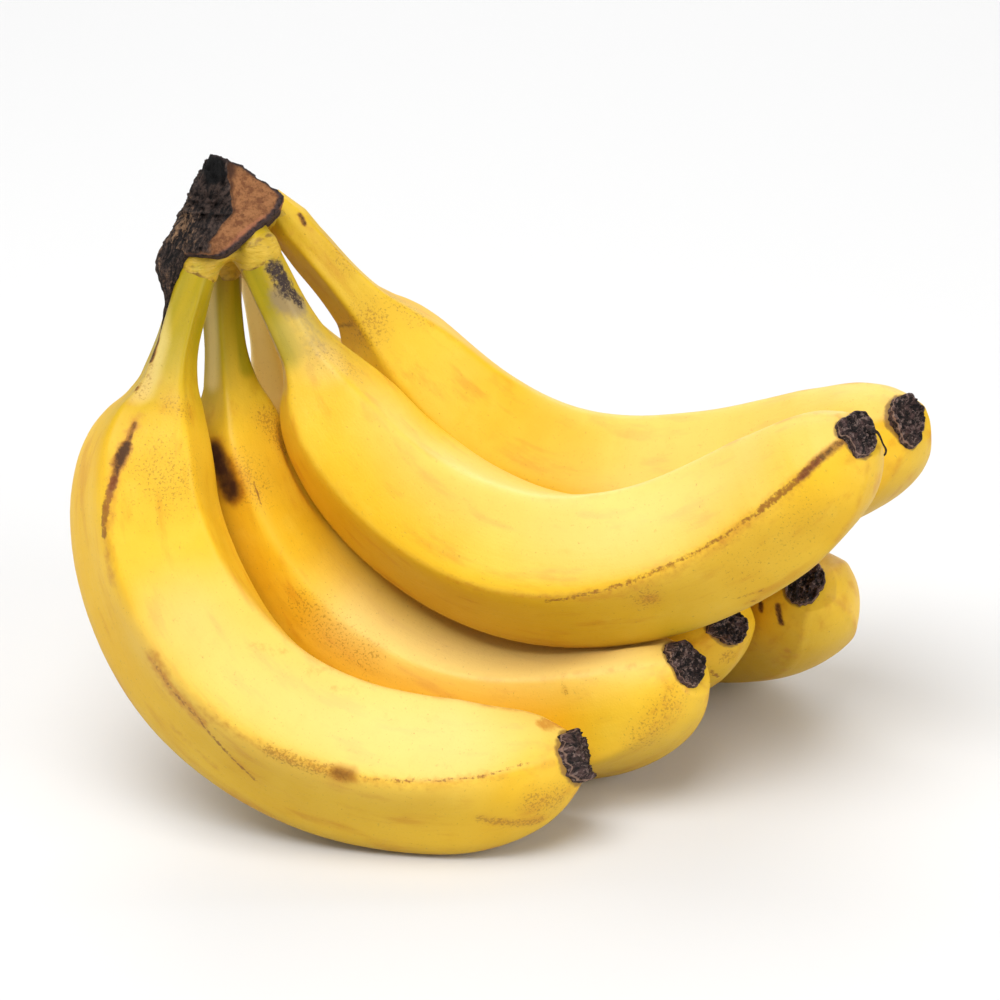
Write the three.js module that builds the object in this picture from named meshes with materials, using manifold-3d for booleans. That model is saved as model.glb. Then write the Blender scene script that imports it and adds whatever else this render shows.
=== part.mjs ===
// A hand of six bananas still joined at the crown, lying on the bellies of its lower fingers.
// Millimetres, +Z up, +X along the longest extent (crown at -X, blossom ends at +X),
// origin on the resting plane under the middle of the bounding box.

import * as THREE from "three";
import Module from "manifold-3d";
import { mergeVertices } from "three/addons/utils/BufferGeometryUtils.js";

const wasm = await Module();
wasm.setup();

// ---------------------------------------------------------------- driving dimensions

const CLEARANCE = 0.3; // gap between pieces that touch
const SOCKET_CLEARANCE = 0.45; // gap round a stem in the crown
const SOCKET_RINGS = 8; // cross-sections of a stem that its hole in the crown follows
const PRESS_GAP = 0.8; // gap left where one finger is pressed in by its neighbour
const ROOT_TAPER = 0.6; // width of a stem's rooted end as a share of the stem
const RINGS = 38; // cross-sections along a finger
const SIDES = 20; // points round a cross-section
const STATIONS = 60; // steps of a finger's centre line

// Each finger: where its stem leaves the crown, the stem's compass heading and its dip
// below the horizontal, the roll of the plane it bends in, its length, its body's mean
// radius, how fast it bends (degrees per whole length at BEND_AT), how far it leans out
// of that plane (degrees at LEAN_AT), where its first ridge runs and how far the ridges
// wind round it, how deep its stem roots in the crown, and how thick its neck is as a
// share of the usual.
const FINGERS = [
  {
    name: "finger_upper_front", base: [-60.6, 3.4, 128.5], heading: -31.8, dip: 64.1, roll: 23.2,
    length: 197.1, girth: 18.2, bend: [14, 59, 122, 180, 156, 113, 58], lean: [-6.5, 22.5],
    ridge: 22, wind: -62, root: 7, neck: 0.96,
  },
  {
    name: "finger_lower_front", base: [-73.5, 0.4, 123.3], heading: -126.5, dip: 57.5, roll: 124.4,
    length: 194, girth: 18.8, bend: [2, 66, 163, 167, 145, 140, 75], lean: [1.6, 10.6],
    ridge: 30, wind: -52, root: 7, neck: 0.8,
  },
  {
    name: "finger_upper_back", base: [-52.7, 16.2, 129.2], heading: 9.3, dip: 53.6, roll: -38,
    length: 195.2, girth: 18.5, bend: [-1, -8, 109, 166, 154, 123, 38], lean: [-15.3, 0.8],
    ridge: 33, wind: -30, root: 8, neck: 0.95,
  },
  {
    name: "finger_lower_second", base: [-68.6, 10.3, 118.9], heading: -92.2, dip: 77.9, roll: 86.6,
    length: 193.1, girth: 18.4, bend: [20, 66, 118, 157, 165, 173, 129], lean: [2.7, 27.2],
    ridge: 61, wind: -58, root: 8, neck: 0.82,
  },
  {
    name: "finger_lower_back", base: [-61.5, 32.9, 109.6], heading: 41.7, dip: 57.3, roll: -73.6,
    length: 220.7, girth: 17.9, bend: [53, 48, 98, 165, 214, 258, 157], lean: [0, 15.2],
    ridge: 45, wind: -50, root: 6, neck: 0.85,
  },
  {
    name: "finger_lower_third", base: [-60.9, 23.1, 113.4], heading: 46.9, dip: 81.9, roll: -61.1,
    length: 199.6, girth: 17.9, bend: [0, -4, 202, 217, 137, 94, 93], lean: [2.8, 26],
    ridge: 20, wind: -50, root: 8, neck: 0.85,
  },
];
const BEND_AT = [0, 0.15, 0.3, 0.5, 0.7, 0.88, 1];
const LEAN_AT = [0, 0.3, 0.6, 1];

// Radius along a finger as a share of its girth: thin stem, abrupt shoulder on the
// outer side and a gentler one on the inner side, full body, blunt end.
const GIRTH_AT = [0, 0.05, 0.1, 0.14, 0.165, 0.19, 0.215, 0.25, 0.3, 0.38, 0.5, 0.62, 0.75, 0.85, 0.9, 0.94, 0.97, 0.988, 1];
const OUTER = [0.33, 0.32, 0.31, 0.32, 0.41, 0.62, 0.77, 0.88, 0.95, 0.98, 1, 0.97, 0.94, 0.91, 0.86, 0.76, 0.6, 0.45, 0.33];
const INNER = [0.28, 0.29, 0.33, 0.4, 0.5, 0.6, 0.69, 0.78, 0.85, 0.95, 1, 1, 1, 0.95, 0.87, 0.77, 0.62, 0.46, 0.33];
const NECK_END = [0.08, 0.17]; // over which a thin neck widens to the usual
const RIDGE_COUNT = 5;
const RIDGE_SHARPNESS = 8;
const RIDGE_SCALE = 1.052; // keeps the mean radius with the ridges standing proud

// Crown: a cut cushion, bounded by faces given as outward direction and distance from
// its middle, with rounded edges.
const CROWN_MIDDLE = [-71.1, 14.9, 134.4];
const CROWN_FACES = [
  { out: [0.13, -0.71, 0.69], at: 12.1 }, // cut face
  { out: [-0.45, -0.7, 0.55], at: 12 }, // torn corner of the cut
  { out: [0.57, 0.61, 0.55], at: 8.3 }, // top
  { out: [0.11, 0.5, 0.86], at: 10.4 }, // apex
  { out: [-0.89, 0.09, 0.44], at: 5.8 }, // dry flank
  { out: [0.95, -0.12, -0.27], at: 17 }, // end towards the upper fingers
  { out: [0.67, -0.3, -0.68], at: 15.5 }, // lower corner
  { out: [-0.1, -0.41, -0.91], at: 17 }, // underside, where the stems leave
  { out: [0.15, 0.98, -0.12], at: 25 }, // back
  { out: [-0.6, 0.78, 0.1], at: 15 }, // back corner
];
const CROWN_SHARPNESS = 14;

// Dry husk hanging from the crown's torn corner down to the nearest stem: middle and
// half thickness of its cross-sections.
const HUSK = [
  { middle: [-76.5, 5, 135], half: 3 },
  { middle: [-79, 2, 131.5], half: 4 },
  { middle: [-80.3, 1.2, 127.5], half: 4.6 },
  { middle: [-80.2, 0.2, 124], half: 4 },
  { middle: [-79.8, -1, 121], half: 2.2 },
];
const HUSK_SIDES = 12;

// Dried blossom end: a shallow crater, drawn as radius and height above its foot.
const BLOSSOM = [[0, 0], [5.9, 0], [6.1, 0.9], [5.6, 2.3], [4.7, 2.6], [3.4, 1.5], [0, 1.2]];
const BLOSSOM_SIDES = 14;

// ---------------------------------------------------------------- curves

const rad = THREE.MathUtils.degToRad;

// Monotone cubic through the points (at, value).
function smoothCurve(at, value) {
  const n = at.length;
  const h = at.slice(1).map((x, i) => x - at[i]);
  const m = h.map((w, i) => (value[i + 1] - value[i]) / w);
  const slope = new Array(n).fill(0);
  for (let i = 1; i < n - 1; i += 1) {
    if (m[i - 1] * m[i] > 0) {
      const w1 = 2 * h[i] + h[i - 1];
      const w2 = h[i] + 2 * h[i - 1];
      slope[i] = (w1 + w2) / (w1 / m[i - 1] + w2 / m[i]);
    }
  }
  slope[0] = endSlope(h[0], h[1], m[0], m[1]);
  slope[n - 1] = endSlope(h[n - 2], h[n - 3], m[n - 2], m[n - 3]);
  return (x) => {
    let i = 0;
    while (i < n - 2 && x > at[i + 1]) i += 1;
    const t = THREE.MathUtils.clamp((x - at[i]) / h[i], 0, 1);
    const rise = t * t * (3 - 2 * t);
    return value[i] * (1 - rise) + value[i + 1] * rise
      + h[i] * t * (1 - t) * ((1 - t) * slope[i] - t * slope[i + 1]);
  };
}

function endSlope(h0, h1, m0, m1) {
  const d = ((2 * h0 + h1) * m0 - h0 * m1) / (h0 + h1);
  if (d * m0 <= 0) return 0;
  return m0 * m1 <= 0 && Math.abs(d) > 3 * Math.abs(m0) ? 3 * m0 : d;
}

const outerShare = smoothCurve(GIRTH_AT, OUTER);
const innerShare = smoothCurve(GIRTH_AT, INNER);

// The centre line of a finger: stations with a point, the direction of travel, the
// direction towards the hollow of the bend and the direction across it.
function centreLine(spec) {
  const heading = rad(spec.heading);
  const dip = rad(spec.dip);
  const along = new THREE.Vector3(
    Math.cos(dip) * Math.cos(heading), Math.cos(dip) * Math.sin(heading), -Math.sin(dip));
  const side = new THREE.Vector3(-Math.sin(heading), Math.cos(heading), 0);
  const lift = along.clone().cross(side);
  const roll = rad(spec.roll);
  const inward = lift.multiplyScalar(Math.cos(roll)).addScaledVector(side, Math.sin(roll));
  const across = along.clone().cross(inward);
  const bend = smoothCurve(BEND_AT, spec.bend.map(rad));
  const lean = smoothCurve(LEAN_AT, [0, 0, rad(spec.lean[0]), rad(spec.lean[1])]);
  const world = (x, y, z) => new THREE.Vector3()
    .addScaledVector(along, x).addScaledVector(inward, y).addScaledVector(across, z);
  const stations = [];
  let turn = 0;
  let point = new THREE.Vector3(...spec.base);
  for (let i = 0; i <= STATIONS; i += 1) {
    const s = i / STATIONS;
    if (i > 0) turn += (bend(s) + bend(s - 1 / STATIONS)) / 2 / STATIONS;
    const tilt = lean(s);
    const go = world(
      Math.cos(tilt) * Math.cos(turn), Math.cos(tilt) * Math.sin(turn), Math.sin(tilt));
    if (i > 0) {
      const mean = go.clone().add(stations[i - 1].go).multiplyScalar(0.5);
      point = point.clone().addScaledVector(mean, spec.length / STATIONS);
    }
    const hollow = world(-Math.sin(turn), Math.cos(turn), 0);
    stations.push({ point, go, hollow, cross: go.clone().cross(hollow) });
  }
  return stations;
}

function stationAt(line, s) {
  const x = THREE.MathUtils.clamp(s, 0, 1) * STATIONS;
  const i = Math.min(Math.floor(x), STATIONS - 1);
  const t = x - i;
  const mix = (key) => line[i][key].clone().lerp(line[i + 1][key], t);
  return { point: mix("point"), go: mix("go"), hollow: mix("hollow"), cross: mix("cross") };
}

// Radius of a finger's skin at share s of its length and angle a, where a = 0 is the
// outer side of the bend and a = 180 degrees the hollow side.
function skinRadius(spec, s, a) {
  const outer = (1 + Math.cos(a)) / 2;
  const neck = spec.neck + (1 - spec.neck) * THREE.MathUtils.smoothstep(s, ...NECK_END);
  const mean = spec.girth * neck * (innerShare(s) * (1 - outer) + outerShare(s) * outer);
  const first = rad(spec.ridge + spec.wind * s) + Math.PI / RIDGE_COUNT;
  let sum = 0;
  for (let k = 0; k < RIDGE_COUNT; k += 1) {
    const c = Math.cos(a - first - (2 * Math.PI * k) / RIDGE_COUNT);
    if (c > 0) sum += c ** RIDGE_SHARPNESS;
  }
  return (mean * sum ** (-1 / RIDGE_SHARPNESS)) / RIDGE_SCALE;
}

// ---------------------------------------------------------------- solids

function closedMesh(rings, startPoint, endPoint) {
  const count = rings[0].length;
  const points = [...rings.flat(), startPoint, endPoint];
  const start = points.length - 2;
  const end = points.length - 1;
  const faces = [];
  for (let i = 0; i < rings.length - 1; i += 1) {
    for (let j = 0; j < count; j += 1) {
      const k = (j + 1) % count;
      const a = i * count + j;
      const b = i * count + k;
      faces.push(a, b, a + count, b, b + count, a + count);
    }
  }
  for (let j = 0; j < count; j += 1) {
    const k = (j + 1) % count;
    const last = (rings.length - 1) * count;
    faces.push(start, k, j, end, last + j, last + k);
  }
  const geometry = new THREE.BufferGeometry();
  geometry.setAttribute("position", new THREE.Float32BufferAttribute(points.flatMap((p) => p.toArray()), 3));
  geometry.setIndex(faces);
  return geometry;
}

function ringPoints(spec, station, s) {
  const ring = [];
  for (let j = 0; j < SIDES; j += 1) {
    const a = (2 * Math.PI * j) / SIDES;
    const r = skinRadius(spec, s, a);
    ring.push(station.point.clone()
      .addScaledVector(station.hollow, -Math.cos(a) * r)
      .addScaledVector(station.cross, -Math.sin(a) * r));
  }
  return ring;
}

// Push a point out of a neighbouring finger, leaving the press gap.
function pressOut(point, neighbour) {
  const { spec, line } = neighbour;
  let best = { distance: Infinity, s: 0 };
  for (let i = 0; i < STATIONS; i += 1) {
    const from = line[i].point;
    const step = line[i + 1].point.clone().sub(from);
    const first = i === 0 ? (-spec.root * STATIONS) / spec.length : 0;
    const t = THREE.MathUtils.clamp(point.clone().sub(from).dot(step) / step.lengthSq(), first, 1);
    const distance = from.clone().addScaledVector(step, t).distanceTo(point);
    if (distance < best.distance) best = { distance, s: (i + t) / STATIONS };
  }
  if (best.s >= 1 || best.distance > 1.3 * spec.girth) return;
  const near = stationAt(line, best.s);
  const rooted = (Math.max(-best.s, 0) * spec.length) / spec.root;
  near.point.addScaledVector(near.go, -rooted * spec.root);
  const away = point.clone().sub(near.point);
  const a = Math.atan2(-away.dot(near.cross), -away.dot(near.hollow));
  const taper = 1 - (1 - ROOT_TAPER) * rooted;
  const reach = skinRadius(spec, Math.max(best.s, 0), a) * taper + PRESS_GAP;
  if (away.length() < reach) point.copy(near.point).addScaledVector(away.normalize(), reach);
}

// Cross-sections of a finger from its root in the crown to its blunt end. It yields where
// it meets the fingers in `firm`, and its belly is flat where it meets the resting plane.
function fingerRings(finger, firm) {
  const { spec, line } = finger;
  const rings = [];
  for (let i = 0; i <= RINGS; i += 1) {
    const t = i / RINGS;
    const s = t - 0.05 * Math.sin(2 * Math.PI * t);
    rings.push(ringPoints(spec, stationAt(line, s), s));
  }
  const root = line[0].point.clone().addScaledVector(line[0].go, -spec.root);
  rings.unshift(rings[0].map((p) => p.clone().sub(line[0].point).multiplyScalar(ROOT_TAPER).add(root)));
  for (const p of rings.flat()) {
    for (let pass = 0; pass < 2; pass += 1) firm.forEach((other) => pressOut(p, other));
    p.z = Math.max(p.z, 0);
  }
  return rings;
}

function ringMiddle(ring) {
  const middle = new THREE.Vector3();
  ring.forEach((p) => middle.add(p));
  return middle.divideScalar(ring.length);
}

function fingerGeometry(rings) {
  return closedMesh(rings, ringMiddle(rings[0]), ringMiddle(rings[rings.length - 1]));
}

// The hole that a finger's stem fills in the crown: the stem, a little larger all round.
function socketGeometry(finger, rings) {
  const stem = rings.slice(0, SOCKET_RINGS).map((ring) => {
    const middle = ringMiddle(ring);
    return ring.map((p) => {
      const out = p.clone().sub(middle);
      return middle.clone().addScaledVector(out, 1 + SOCKET_CLEARANCE / out.length());
    });
  });
  const back = finger.line[0].go.clone().multiplyScalar(-SOCKET_CLEARANCE);
  stem[0].forEach((p) => p.add(back));
  return closedMesh(stem, ringMiddle(stem[0]), ringMiddle(stem[stem.length - 1]));
}

// Distance from the crown's middle to its skin along the unit direction u.
function crownRadius(u) {
  let sum = 0;
  for (const { out, at } of CROWN_FACES) {
    const c = out[0] * u.x + out[1] * u.y + out[2] * u.z;
    if (c > 0) sum += (c / at) ** CROWN_SHARPNESS;
  }
  return sum ** (-1 / CROWN_SHARPNESS);
}

function crownGeometry() {
  const middle = new THREE.Vector3(...CROWN_MIDDLE);
  const at = (polar, turn) => {
    const u = new THREE.Vector3(
      Math.sin(polar) * Math.cos(turn), Math.sin(polar) * Math.sin(turn), -Math.cos(polar));
    return middle.clone().addScaledVector(u, crownRadius(u));
  };
  const rings = [];
  const levels = 17;
  const sides = 34;
  for (let i = 1; i < levels; i += 1) {
    const ring = [];
    for (let j = 0; j < sides; j += 1) ring.push(at((Math.PI * i) / levels, (2 * Math.PI * j) / sides));
    rings.push(ring);
  }
  return closedMesh(rings, at(0, 0), at(Math.PI, 0));
}

function huskGeometry() {
  const middles = HUSK.map(({ middle }) => new THREE.Vector3(...middle));
  const rings = HUSK.map(({ half }, i) => {
    const before = middles[Math.max(i - 1, 0)];
    const after = middles[Math.min(i + 1, HUSK.length - 1)];
    const along = after.clone().sub(before).normalize();
    const side = along.clone().cross(new THREE.Vector3(0, 1, 0)).normalize();
    const other = along.clone().cross(side);
    return Array.from({ length: HUSK_SIDES }, (_, j) => {
      const a = (2 * Math.PI * j) / HUSK_SIDES;
      return middles[i].clone()
        .addScaledVector(side, Math.cos(a) * half)
        .addScaledVector(other, Math.sin(a) * half);
    });
  });
  return closedMesh(rings, middles[0], middles[middles.length - 1]);
}

function blossomGeometry(finger) {
  const { line } = finger;
  const tip = line[STATIONS];
  const rings = [];
  for (const [r, h] of BLOSSOM.slice(1, -1)) {
    const ring = [];
    for (let j = 0; j < BLOSSOM_SIDES; j += 1) {
      const a = (2 * Math.PI * j) / BLOSSOM_SIDES;
      ring.push(tip.point.clone()
        .addScaledVector(tip.go, h + CLEARANCE)
        .addScaledVector(tip.hollow, -Math.cos(a) * r)
        .addScaledVector(tip.cross, -Math.sin(a) * r));
    }
    rings.push(ring);
  }
  const foot = tip.point.clone().addScaledVector(tip.go, CLEARANCE);
  const floor = tip.point.clone().addScaledVector(tip.go, CLEARANCE + BLOSSOM[BLOSSOM.length - 1][1]);
  return closedMesh(rings, foot, floor);
}

// ---------------------------------------------------------------- booleans

function toManifold(geometry) {
  const merged = mergeVertices(geometry, 1e-5);
  return new wasm.Manifold(new wasm.Mesh({
    numProp: 3,
    vertProperties: new Float32Array(merged.attributes.position.array),
    triVerts: new Uint32Array(merged.index.array),
  }));
}

function fromManifold(solid) {
  const mesh = solid.getMesh();
  const geometry = new THREE.BufferGeometry();
  geometry.setAttribute("position", new THREE.BufferAttribute(new Float32Array(mesh.vertProperties), 3));
  geometry.setIndex(new THREE.BufferAttribute(new Uint32Array(mesh.triVerts), 1));
  return geometry;
}

// ---------------------------------------------------------------- materials and assembly

const peel = new THREE.MeshStandardMaterial({ color: 0xf2c235, roughness: 0.5, metalness: 0 });
const driedBlossom = new THREE.MeshStandardMaterial({ color: 0x3c2a24, roughness: 0.9, metalness: 0 });
const crownSkin = new THREE.MeshStandardMaterial({ color: 0x6b4c33, roughness: 0.85, metalness: 0 });

const group = new THREE.Group();

function addMesh(name, geometry, material) {
  const mesh = new THREE.Mesh(geometry, material);
  mesh.name = name;
  group.add(mesh);
}

const fingers = FINGERS.map((spec) => ({ spec, line: centreLine(spec) }));

fingers.forEach((finger, i) => {
  finger.rings = fingerRings(finger, fingers.slice(0, i));
  addMesh(finger.spec.name, fingerGeometry(finger.rings), peel);
  addMesh(finger.spec.name.replace("finger", "blossom_end"), blossomGeometry(finger), driedBlossom);
});

let crown = toManifold(crownGeometry()).add(toManifold(huskGeometry()));
for (const finger of fingers) crown = crown.subtract(toManifold(socketGeometry(finger, finger.rings)));
addMesh("crown", fromManifold(crown), crownSkin);

export default group;
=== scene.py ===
"""A hand of six ripe bananas, still joined at its cut crown, lying on a pale table.

Every shape is worked out in millimetres in the part's own frame and turned into metres
when its mesh is made. Fingers are skins carried along a bending centre line, the crown is
a cushion bounded by rounded faces, and each finger closes with its dried blossom end.
"""

from __future__ import annotations

import logging
from dataclasses import dataclass, field
from enum import Enum

import bpy
import numpy as np
from mathutils import Euler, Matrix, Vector

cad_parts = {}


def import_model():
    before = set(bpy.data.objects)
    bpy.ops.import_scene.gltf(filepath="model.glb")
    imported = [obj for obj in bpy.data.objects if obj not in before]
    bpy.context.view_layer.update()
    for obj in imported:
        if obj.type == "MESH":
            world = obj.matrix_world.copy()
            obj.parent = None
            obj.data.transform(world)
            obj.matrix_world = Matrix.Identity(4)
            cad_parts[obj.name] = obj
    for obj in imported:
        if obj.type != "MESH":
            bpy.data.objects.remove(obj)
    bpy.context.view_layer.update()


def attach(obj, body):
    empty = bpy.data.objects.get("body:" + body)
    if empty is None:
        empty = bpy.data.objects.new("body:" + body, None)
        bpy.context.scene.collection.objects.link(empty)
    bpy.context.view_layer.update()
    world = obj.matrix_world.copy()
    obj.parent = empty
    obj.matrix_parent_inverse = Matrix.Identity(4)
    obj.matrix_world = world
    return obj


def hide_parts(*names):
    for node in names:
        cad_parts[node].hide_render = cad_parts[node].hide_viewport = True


Socket = bpy.types.NodeSocket
Colour = tuple[float, float, float, float]

LOG = logging.getLogger("bananas")
MM = 0.001

# ------------------------------------------------------------------ driving dimensions

STATIONS = 60  # steps of a finger's centre line
STEM_STATIONS = 16  # of them along the stem
FINGER_ROWS = 230  # cross-sections along a finger
FINGER_SIDES = 180  # points round a cross-section
ROOT_ROWS = 6  # cross-sections of the stem's end inside the crown
ROOT_TAPER = 0.6  # width of a stem's rooted end as a share of the stem
PRESS_GAP = 0.35  # mm left where one finger is pressed in by its neighbour
PRESS_SOFTNESS = 0.9  # mm over which a press begins
PRESS_REACH = 1.3  # how far from its centre line a finger can press, in mean radii
PRESS_MARGIN = 5  # mm round a skin within which its neighbours are looked at
PRESS_EASE = 30  # one part in 30 of the firmer finger, at each end, over which it eases
NECK_END = (0.08, 0.17)  # over which a thin neck widens to the usual
RIDGE_COUNT = 5
RIDGE_SHARPNESS = 12
RIDGE_SCALE = 1.063  # keeps the mean radius with the ridges standing proud
RIDGES_RISE = (0.01, 0.06)  # over which the ridges rise from the round foot
RIDGES_FADE = (0.84, 0.97)  # over which they sink into the round blossom end
FOOT_ROUNDING = 0.9  # how round the section is at the foot, 1 being a circle
TIP_ROUNDING = 0.75  # and at the blossom end
TIP_SINK = 0.4  # mm that the skin's last point lies short of the centre line's end
SWELL = (0.4, 34)  # height and length of the skin's slow swells, in mm
RIPPLE = (0.1, 0.14, 9)  # its ripples' height at the stem, what the body adds, and length
RIDGE_PROUD = 0.25  # mm that a ridge's crest stands over the section

CAP_SEED = 71
CUSHION_SEED = 72
STRAND_SEED = 73
BLOSSOM_SEED = 100  # added to each blossom's own

BEND_AT = (0, 0.15, 0.3, 0.5, 0.7, 0.88, 1)
LEAN_AT = (0, 0.3, 0.6, 1)
GIRTH_AT = (0, 0.05, 0.1, 0.14, 0.165, 0.19, 0.215, 0.25, 0.3, 0.38,
            0.5, 0.62, 0.75, 0.85, 0.9, 0.94, 0.97, 0.988, 1)
OUTER_SHARE = (0.33, 0.32, 0.31, 0.32, 0.41, 0.62, 0.77, 0.88, 0.95, 0.98,
               1, 0.97, 0.94, 0.91, 0.86, 0.76, 0.6, 0.45, 0.33)
INNER_SHARE = (0.28, 0.29, 0.33, 0.4, 0.5, 0.6, 0.69, 0.78, 0.85, 0.95,
               1, 1, 1, 0.95, 0.87, 0.77, 0.62, 0.46, 0.33)


# ------------------------------------------------------------------ numbers and noise

def smooth_curve(at: tuple[float, ...], value: np.ndarray, x: np.ndarray) -> np.ndarray:
    """Monotone cubic through the points (at, value), read at x.

    Each interval is a Hermite cubic whose end slopes are the weighted harmonic mean of
    the neighbouring chords, so the curve never overshoots its points.

    Args:
        at: Rising positions of the given points.
        value: Value at each position.
        x: Positions to read.

    Returns:
        The curve's value at every x.
    """
    at = np.asarray(at, float)
    value = np.asarray(value, float)
    step = np.diff(at)
    chord = np.diff(value) / step
    slope = np.zeros(len(at))
    same_way = chord[:-1] * chord[1:] > 0
    w1 = 2 * step[1:] + step[:-1]
    w2 = step[1:] + 2 * step[:-1]
    safe = np.where(chord == 0, 1.0, chord)
    harmonic = (w1 + w2) / (w1 / safe[:-1] + w2 / safe[1:])
    slope[1:-1] = np.where(same_way, harmonic, 0.0)
    slope[0] = _end_slope(step[0], step[1], chord[0], chord[1])
    slope[-1] = _end_slope(step[-1], step[-2], chord[-1], chord[-2])
    i = np.clip(np.searchsorted(at, x, side="left") - 1, 0, len(step) - 1)
    t = np.clip((x - at[i]) / step[i], 0, 1)
    rise = t * t * (3 - 2 * t)
    bulge = step[i] * t * (1 - t) * ((1 - t) * slope[i] - t * slope[i + 1])
    return value[i] * (1 - rise) + value[i + 1] * rise + bulge


def _end_slope(h0: float, h1: float, m0: float, m1: float) -> float:
    """Three-point end slope of the monotone cubic, kept from overshooting.

    Args:
        h0: Width of the end interval.
        h1: Width of the interval next to it.
        m0: Chord slope of the end interval.
        m1: Chord slope of the interval next to it.

    Returns:
        The slope at the end.
    """
    d = ((2 * h0 + h1) * m0 - h0 * m1) / (h0 + h1)
    if d * m0 <= 0:
        return 0.0
    return 3 * m0 if m0 * m1 <= 0 and abs(d) > 3 * abs(m0) else d


def smooth_step(x: np.ndarray, low: float, high: float) -> np.ndarray:
    """Rises from 0 at low to 1 at high along 3t^2 - 2t^3."""
    t = np.clip((x - low) / (high - low), 0, 1)
    return t * t * (3 - 2 * t)


LATTICE = 32  # cells of the repeating noise lattice along each axis


class ValueNoise:
    """Repeating three-dimensional value noise on a lattice of seeded random values."""

    def __init__(self, seed: int) -> None:
        """Draws the lattice from a seeded generator."""
        self.lattice = np.random.default_rng(seed).uniform(-1, 1, (LATTICE,) * 3)

    def at(self, points: np.ndarray, size: float) -> np.ndarray:
        """Noise from -1 to 1: the lattice values round a point, mixed with 3t^2 - 2t^3.

        Args:
            points: Array of positions whose last axis is x, y, z.
            size: Length of one lattice cell, in the points' own unit.

        Returns:
            One value for each point.
        """
        cell = np.floor(points / size)
        t = points / size - cell
        t = t * t * (3 - 2 * t)
        lo = cell.astype(int) % LATTICE
        hi = (lo + 1) % LATTICE
        total = 0.0
        for corner in range(8):
            pick = [(corner >> axis) & 1 for axis in range(3)]
            index = tuple((hi if pick[axis] else lo)[..., axis] for axis in range(3))
            share = 1.0
            for axis in range(3):
                share = share * (t[..., axis] if pick[axis] else 1 - t[..., axis])
            total = total + self.lattice[index] * share
        return total

    def layered(self, points: np.ndarray, size: float, layers: int = 4) -> np.ndarray:
        """Sum of layers of noise, each half the size and half the height of the last."""
        return sum(self.at(points + 7.3 * k, size / 2**k) / 2**k for k in range(layers))

    def ridged(self, points: np.ndarray, size: float, layers: int = 3) -> np.ndarray:
        """Creased noise: the mean of 1 - |noise| over its layers, so its crests are sharp.

        Each layer is half the size and half the weight of the last.

        Args:
            points: Array of positions whose last axis is x, y, z.
            size: Length of the first layer's cells, in the points' own unit.
            layers: How many layers there are.

        Returns:
            One value for each point, about 0 to 1.
        """
        total = sum((1 - np.abs(self.at(points + 3.1 * k, size / 2**k))) / 2**k
                    for k in range(layers))
        return total / sum(0.5**k for k in range(layers))


# ------------------------------------------------------------------ meshes

def grid_object(name: str, rings: np.ndarray, start: np.ndarray, end: np.ndarray,
                channels: dict[str, np.ndarray]) -> bpy.types.Object:
    """Closed mesh from rings of points, each end closed by a fan to its pole.

    Args:
        name: The piece's name.
        rings: Points in mm, shaped (rows, sides, 3).
        start: Pole before the first ring.
        end: Pole after the last ring.
        channels: Values or vectors for each point, shaped (rows, sides) or
            (rows, sides, 3). A pole takes the mean of its ring.

    Returns:
        The linked object, smooth shaded, with its faces pointing outwards.
    """
    points = np.concatenate([rings.reshape(-1, 3), [start], [end]])
    quads, triangles = _grid_faces(*rings.shape[:2])
    corners = np.concatenate([quads[:, :3], quads[:, [0, 2, 3]], triangles])
    a, b, c = (points[corners[:, k]] for k in range(3))
    if np.einsum("ij,ij->i", a, np.cross(b, c)).sum() < 0:
        quads = quads[:, ::-1]
        triangles = triangles[:, ::-1]

    mesh = bpy.data.meshes.new(name)
    mesh.vertices.add(len(points))
    mesh.vertices.foreach_set("co", (points * MM).astype(np.float32).ravel())
    loops = np.concatenate([quads.ravel(), triangles.ravel()]).astype(np.int32)
    starts = np.concatenate([np.arange(len(quads)) * 4,
                             len(quads) * 4 + np.arange(len(triangles)) * 3])
    mesh.loops.add(len(loops))
    mesh.loops.foreach_set("vertex_index", loops)
    mesh.polygons.add(len(starts))
    mesh.polygons.foreach_set("loop_start", starts.astype(np.int32))
    mesh.polygons.foreach_set("use_smooth", np.ones(len(starts), bool))
    _store_channels(mesh, channels)
    mesh.update(calc_edges=True)
    piece = bpy.data.objects.new(name, mesh)
    bpy.context.scene.collection.objects.link(piece)
    return piece


def _grid_faces(rows: int, sides: int) -> tuple[np.ndarray, np.ndarray]:
    """Corner numbers of a closed grid's quads, and of the triangles to its two poles.

    Point s of ring r is number r * sides + s, and the poles come after the last ring.

    Args:
        rows: Number of rings.
        sides: Points in a ring.

    Returns:
        The quads, four numbers each, and the triangles, three numbers each.
    """
    row = np.arange(rows - 1)[:, None] * sides
    here = np.arange(sides)
    after = (here + 1) % sides
    quads = np.stack([row + here, row + after, row + sides + after, row + sides + here], -1)
    pole = rows * sides
    last_row = (rows - 1) * sides
    near = np.stack([np.full(sides, pole), after, here], -1)
    far = np.stack([np.full(sides, pole + 1), last_row + here, last_row + after], -1)
    return quads.reshape(-1, 4), np.concatenate([near, far])


def _store_channels(mesh: bpy.types.Mesh, channels: dict[str, np.ndarray]) -> None:
    """Stores values or vectors on a grid's points, and their rings' means on its poles.

    Args:
        mesh: The mesh, whose last two points are its poles.
        channels: Values or vectors for each grid point, by name.
    """
    for key, values in channels.items():
        vector = values.ndim == 3
        poles = [values[0].mean(0), values[-1].mean(0)]
        flat = values.reshape(-1, 3) if vector else values.ravel()
        full = np.concatenate([flat, np.array(poles)]).astype(np.float32)
        made = mesh.attributes.new(key, "FLOAT_VECTOR" if vector else "FLOAT", "POINT")
        made.data.foreach_set("vector" if vector else "value", full.ravel())


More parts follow.
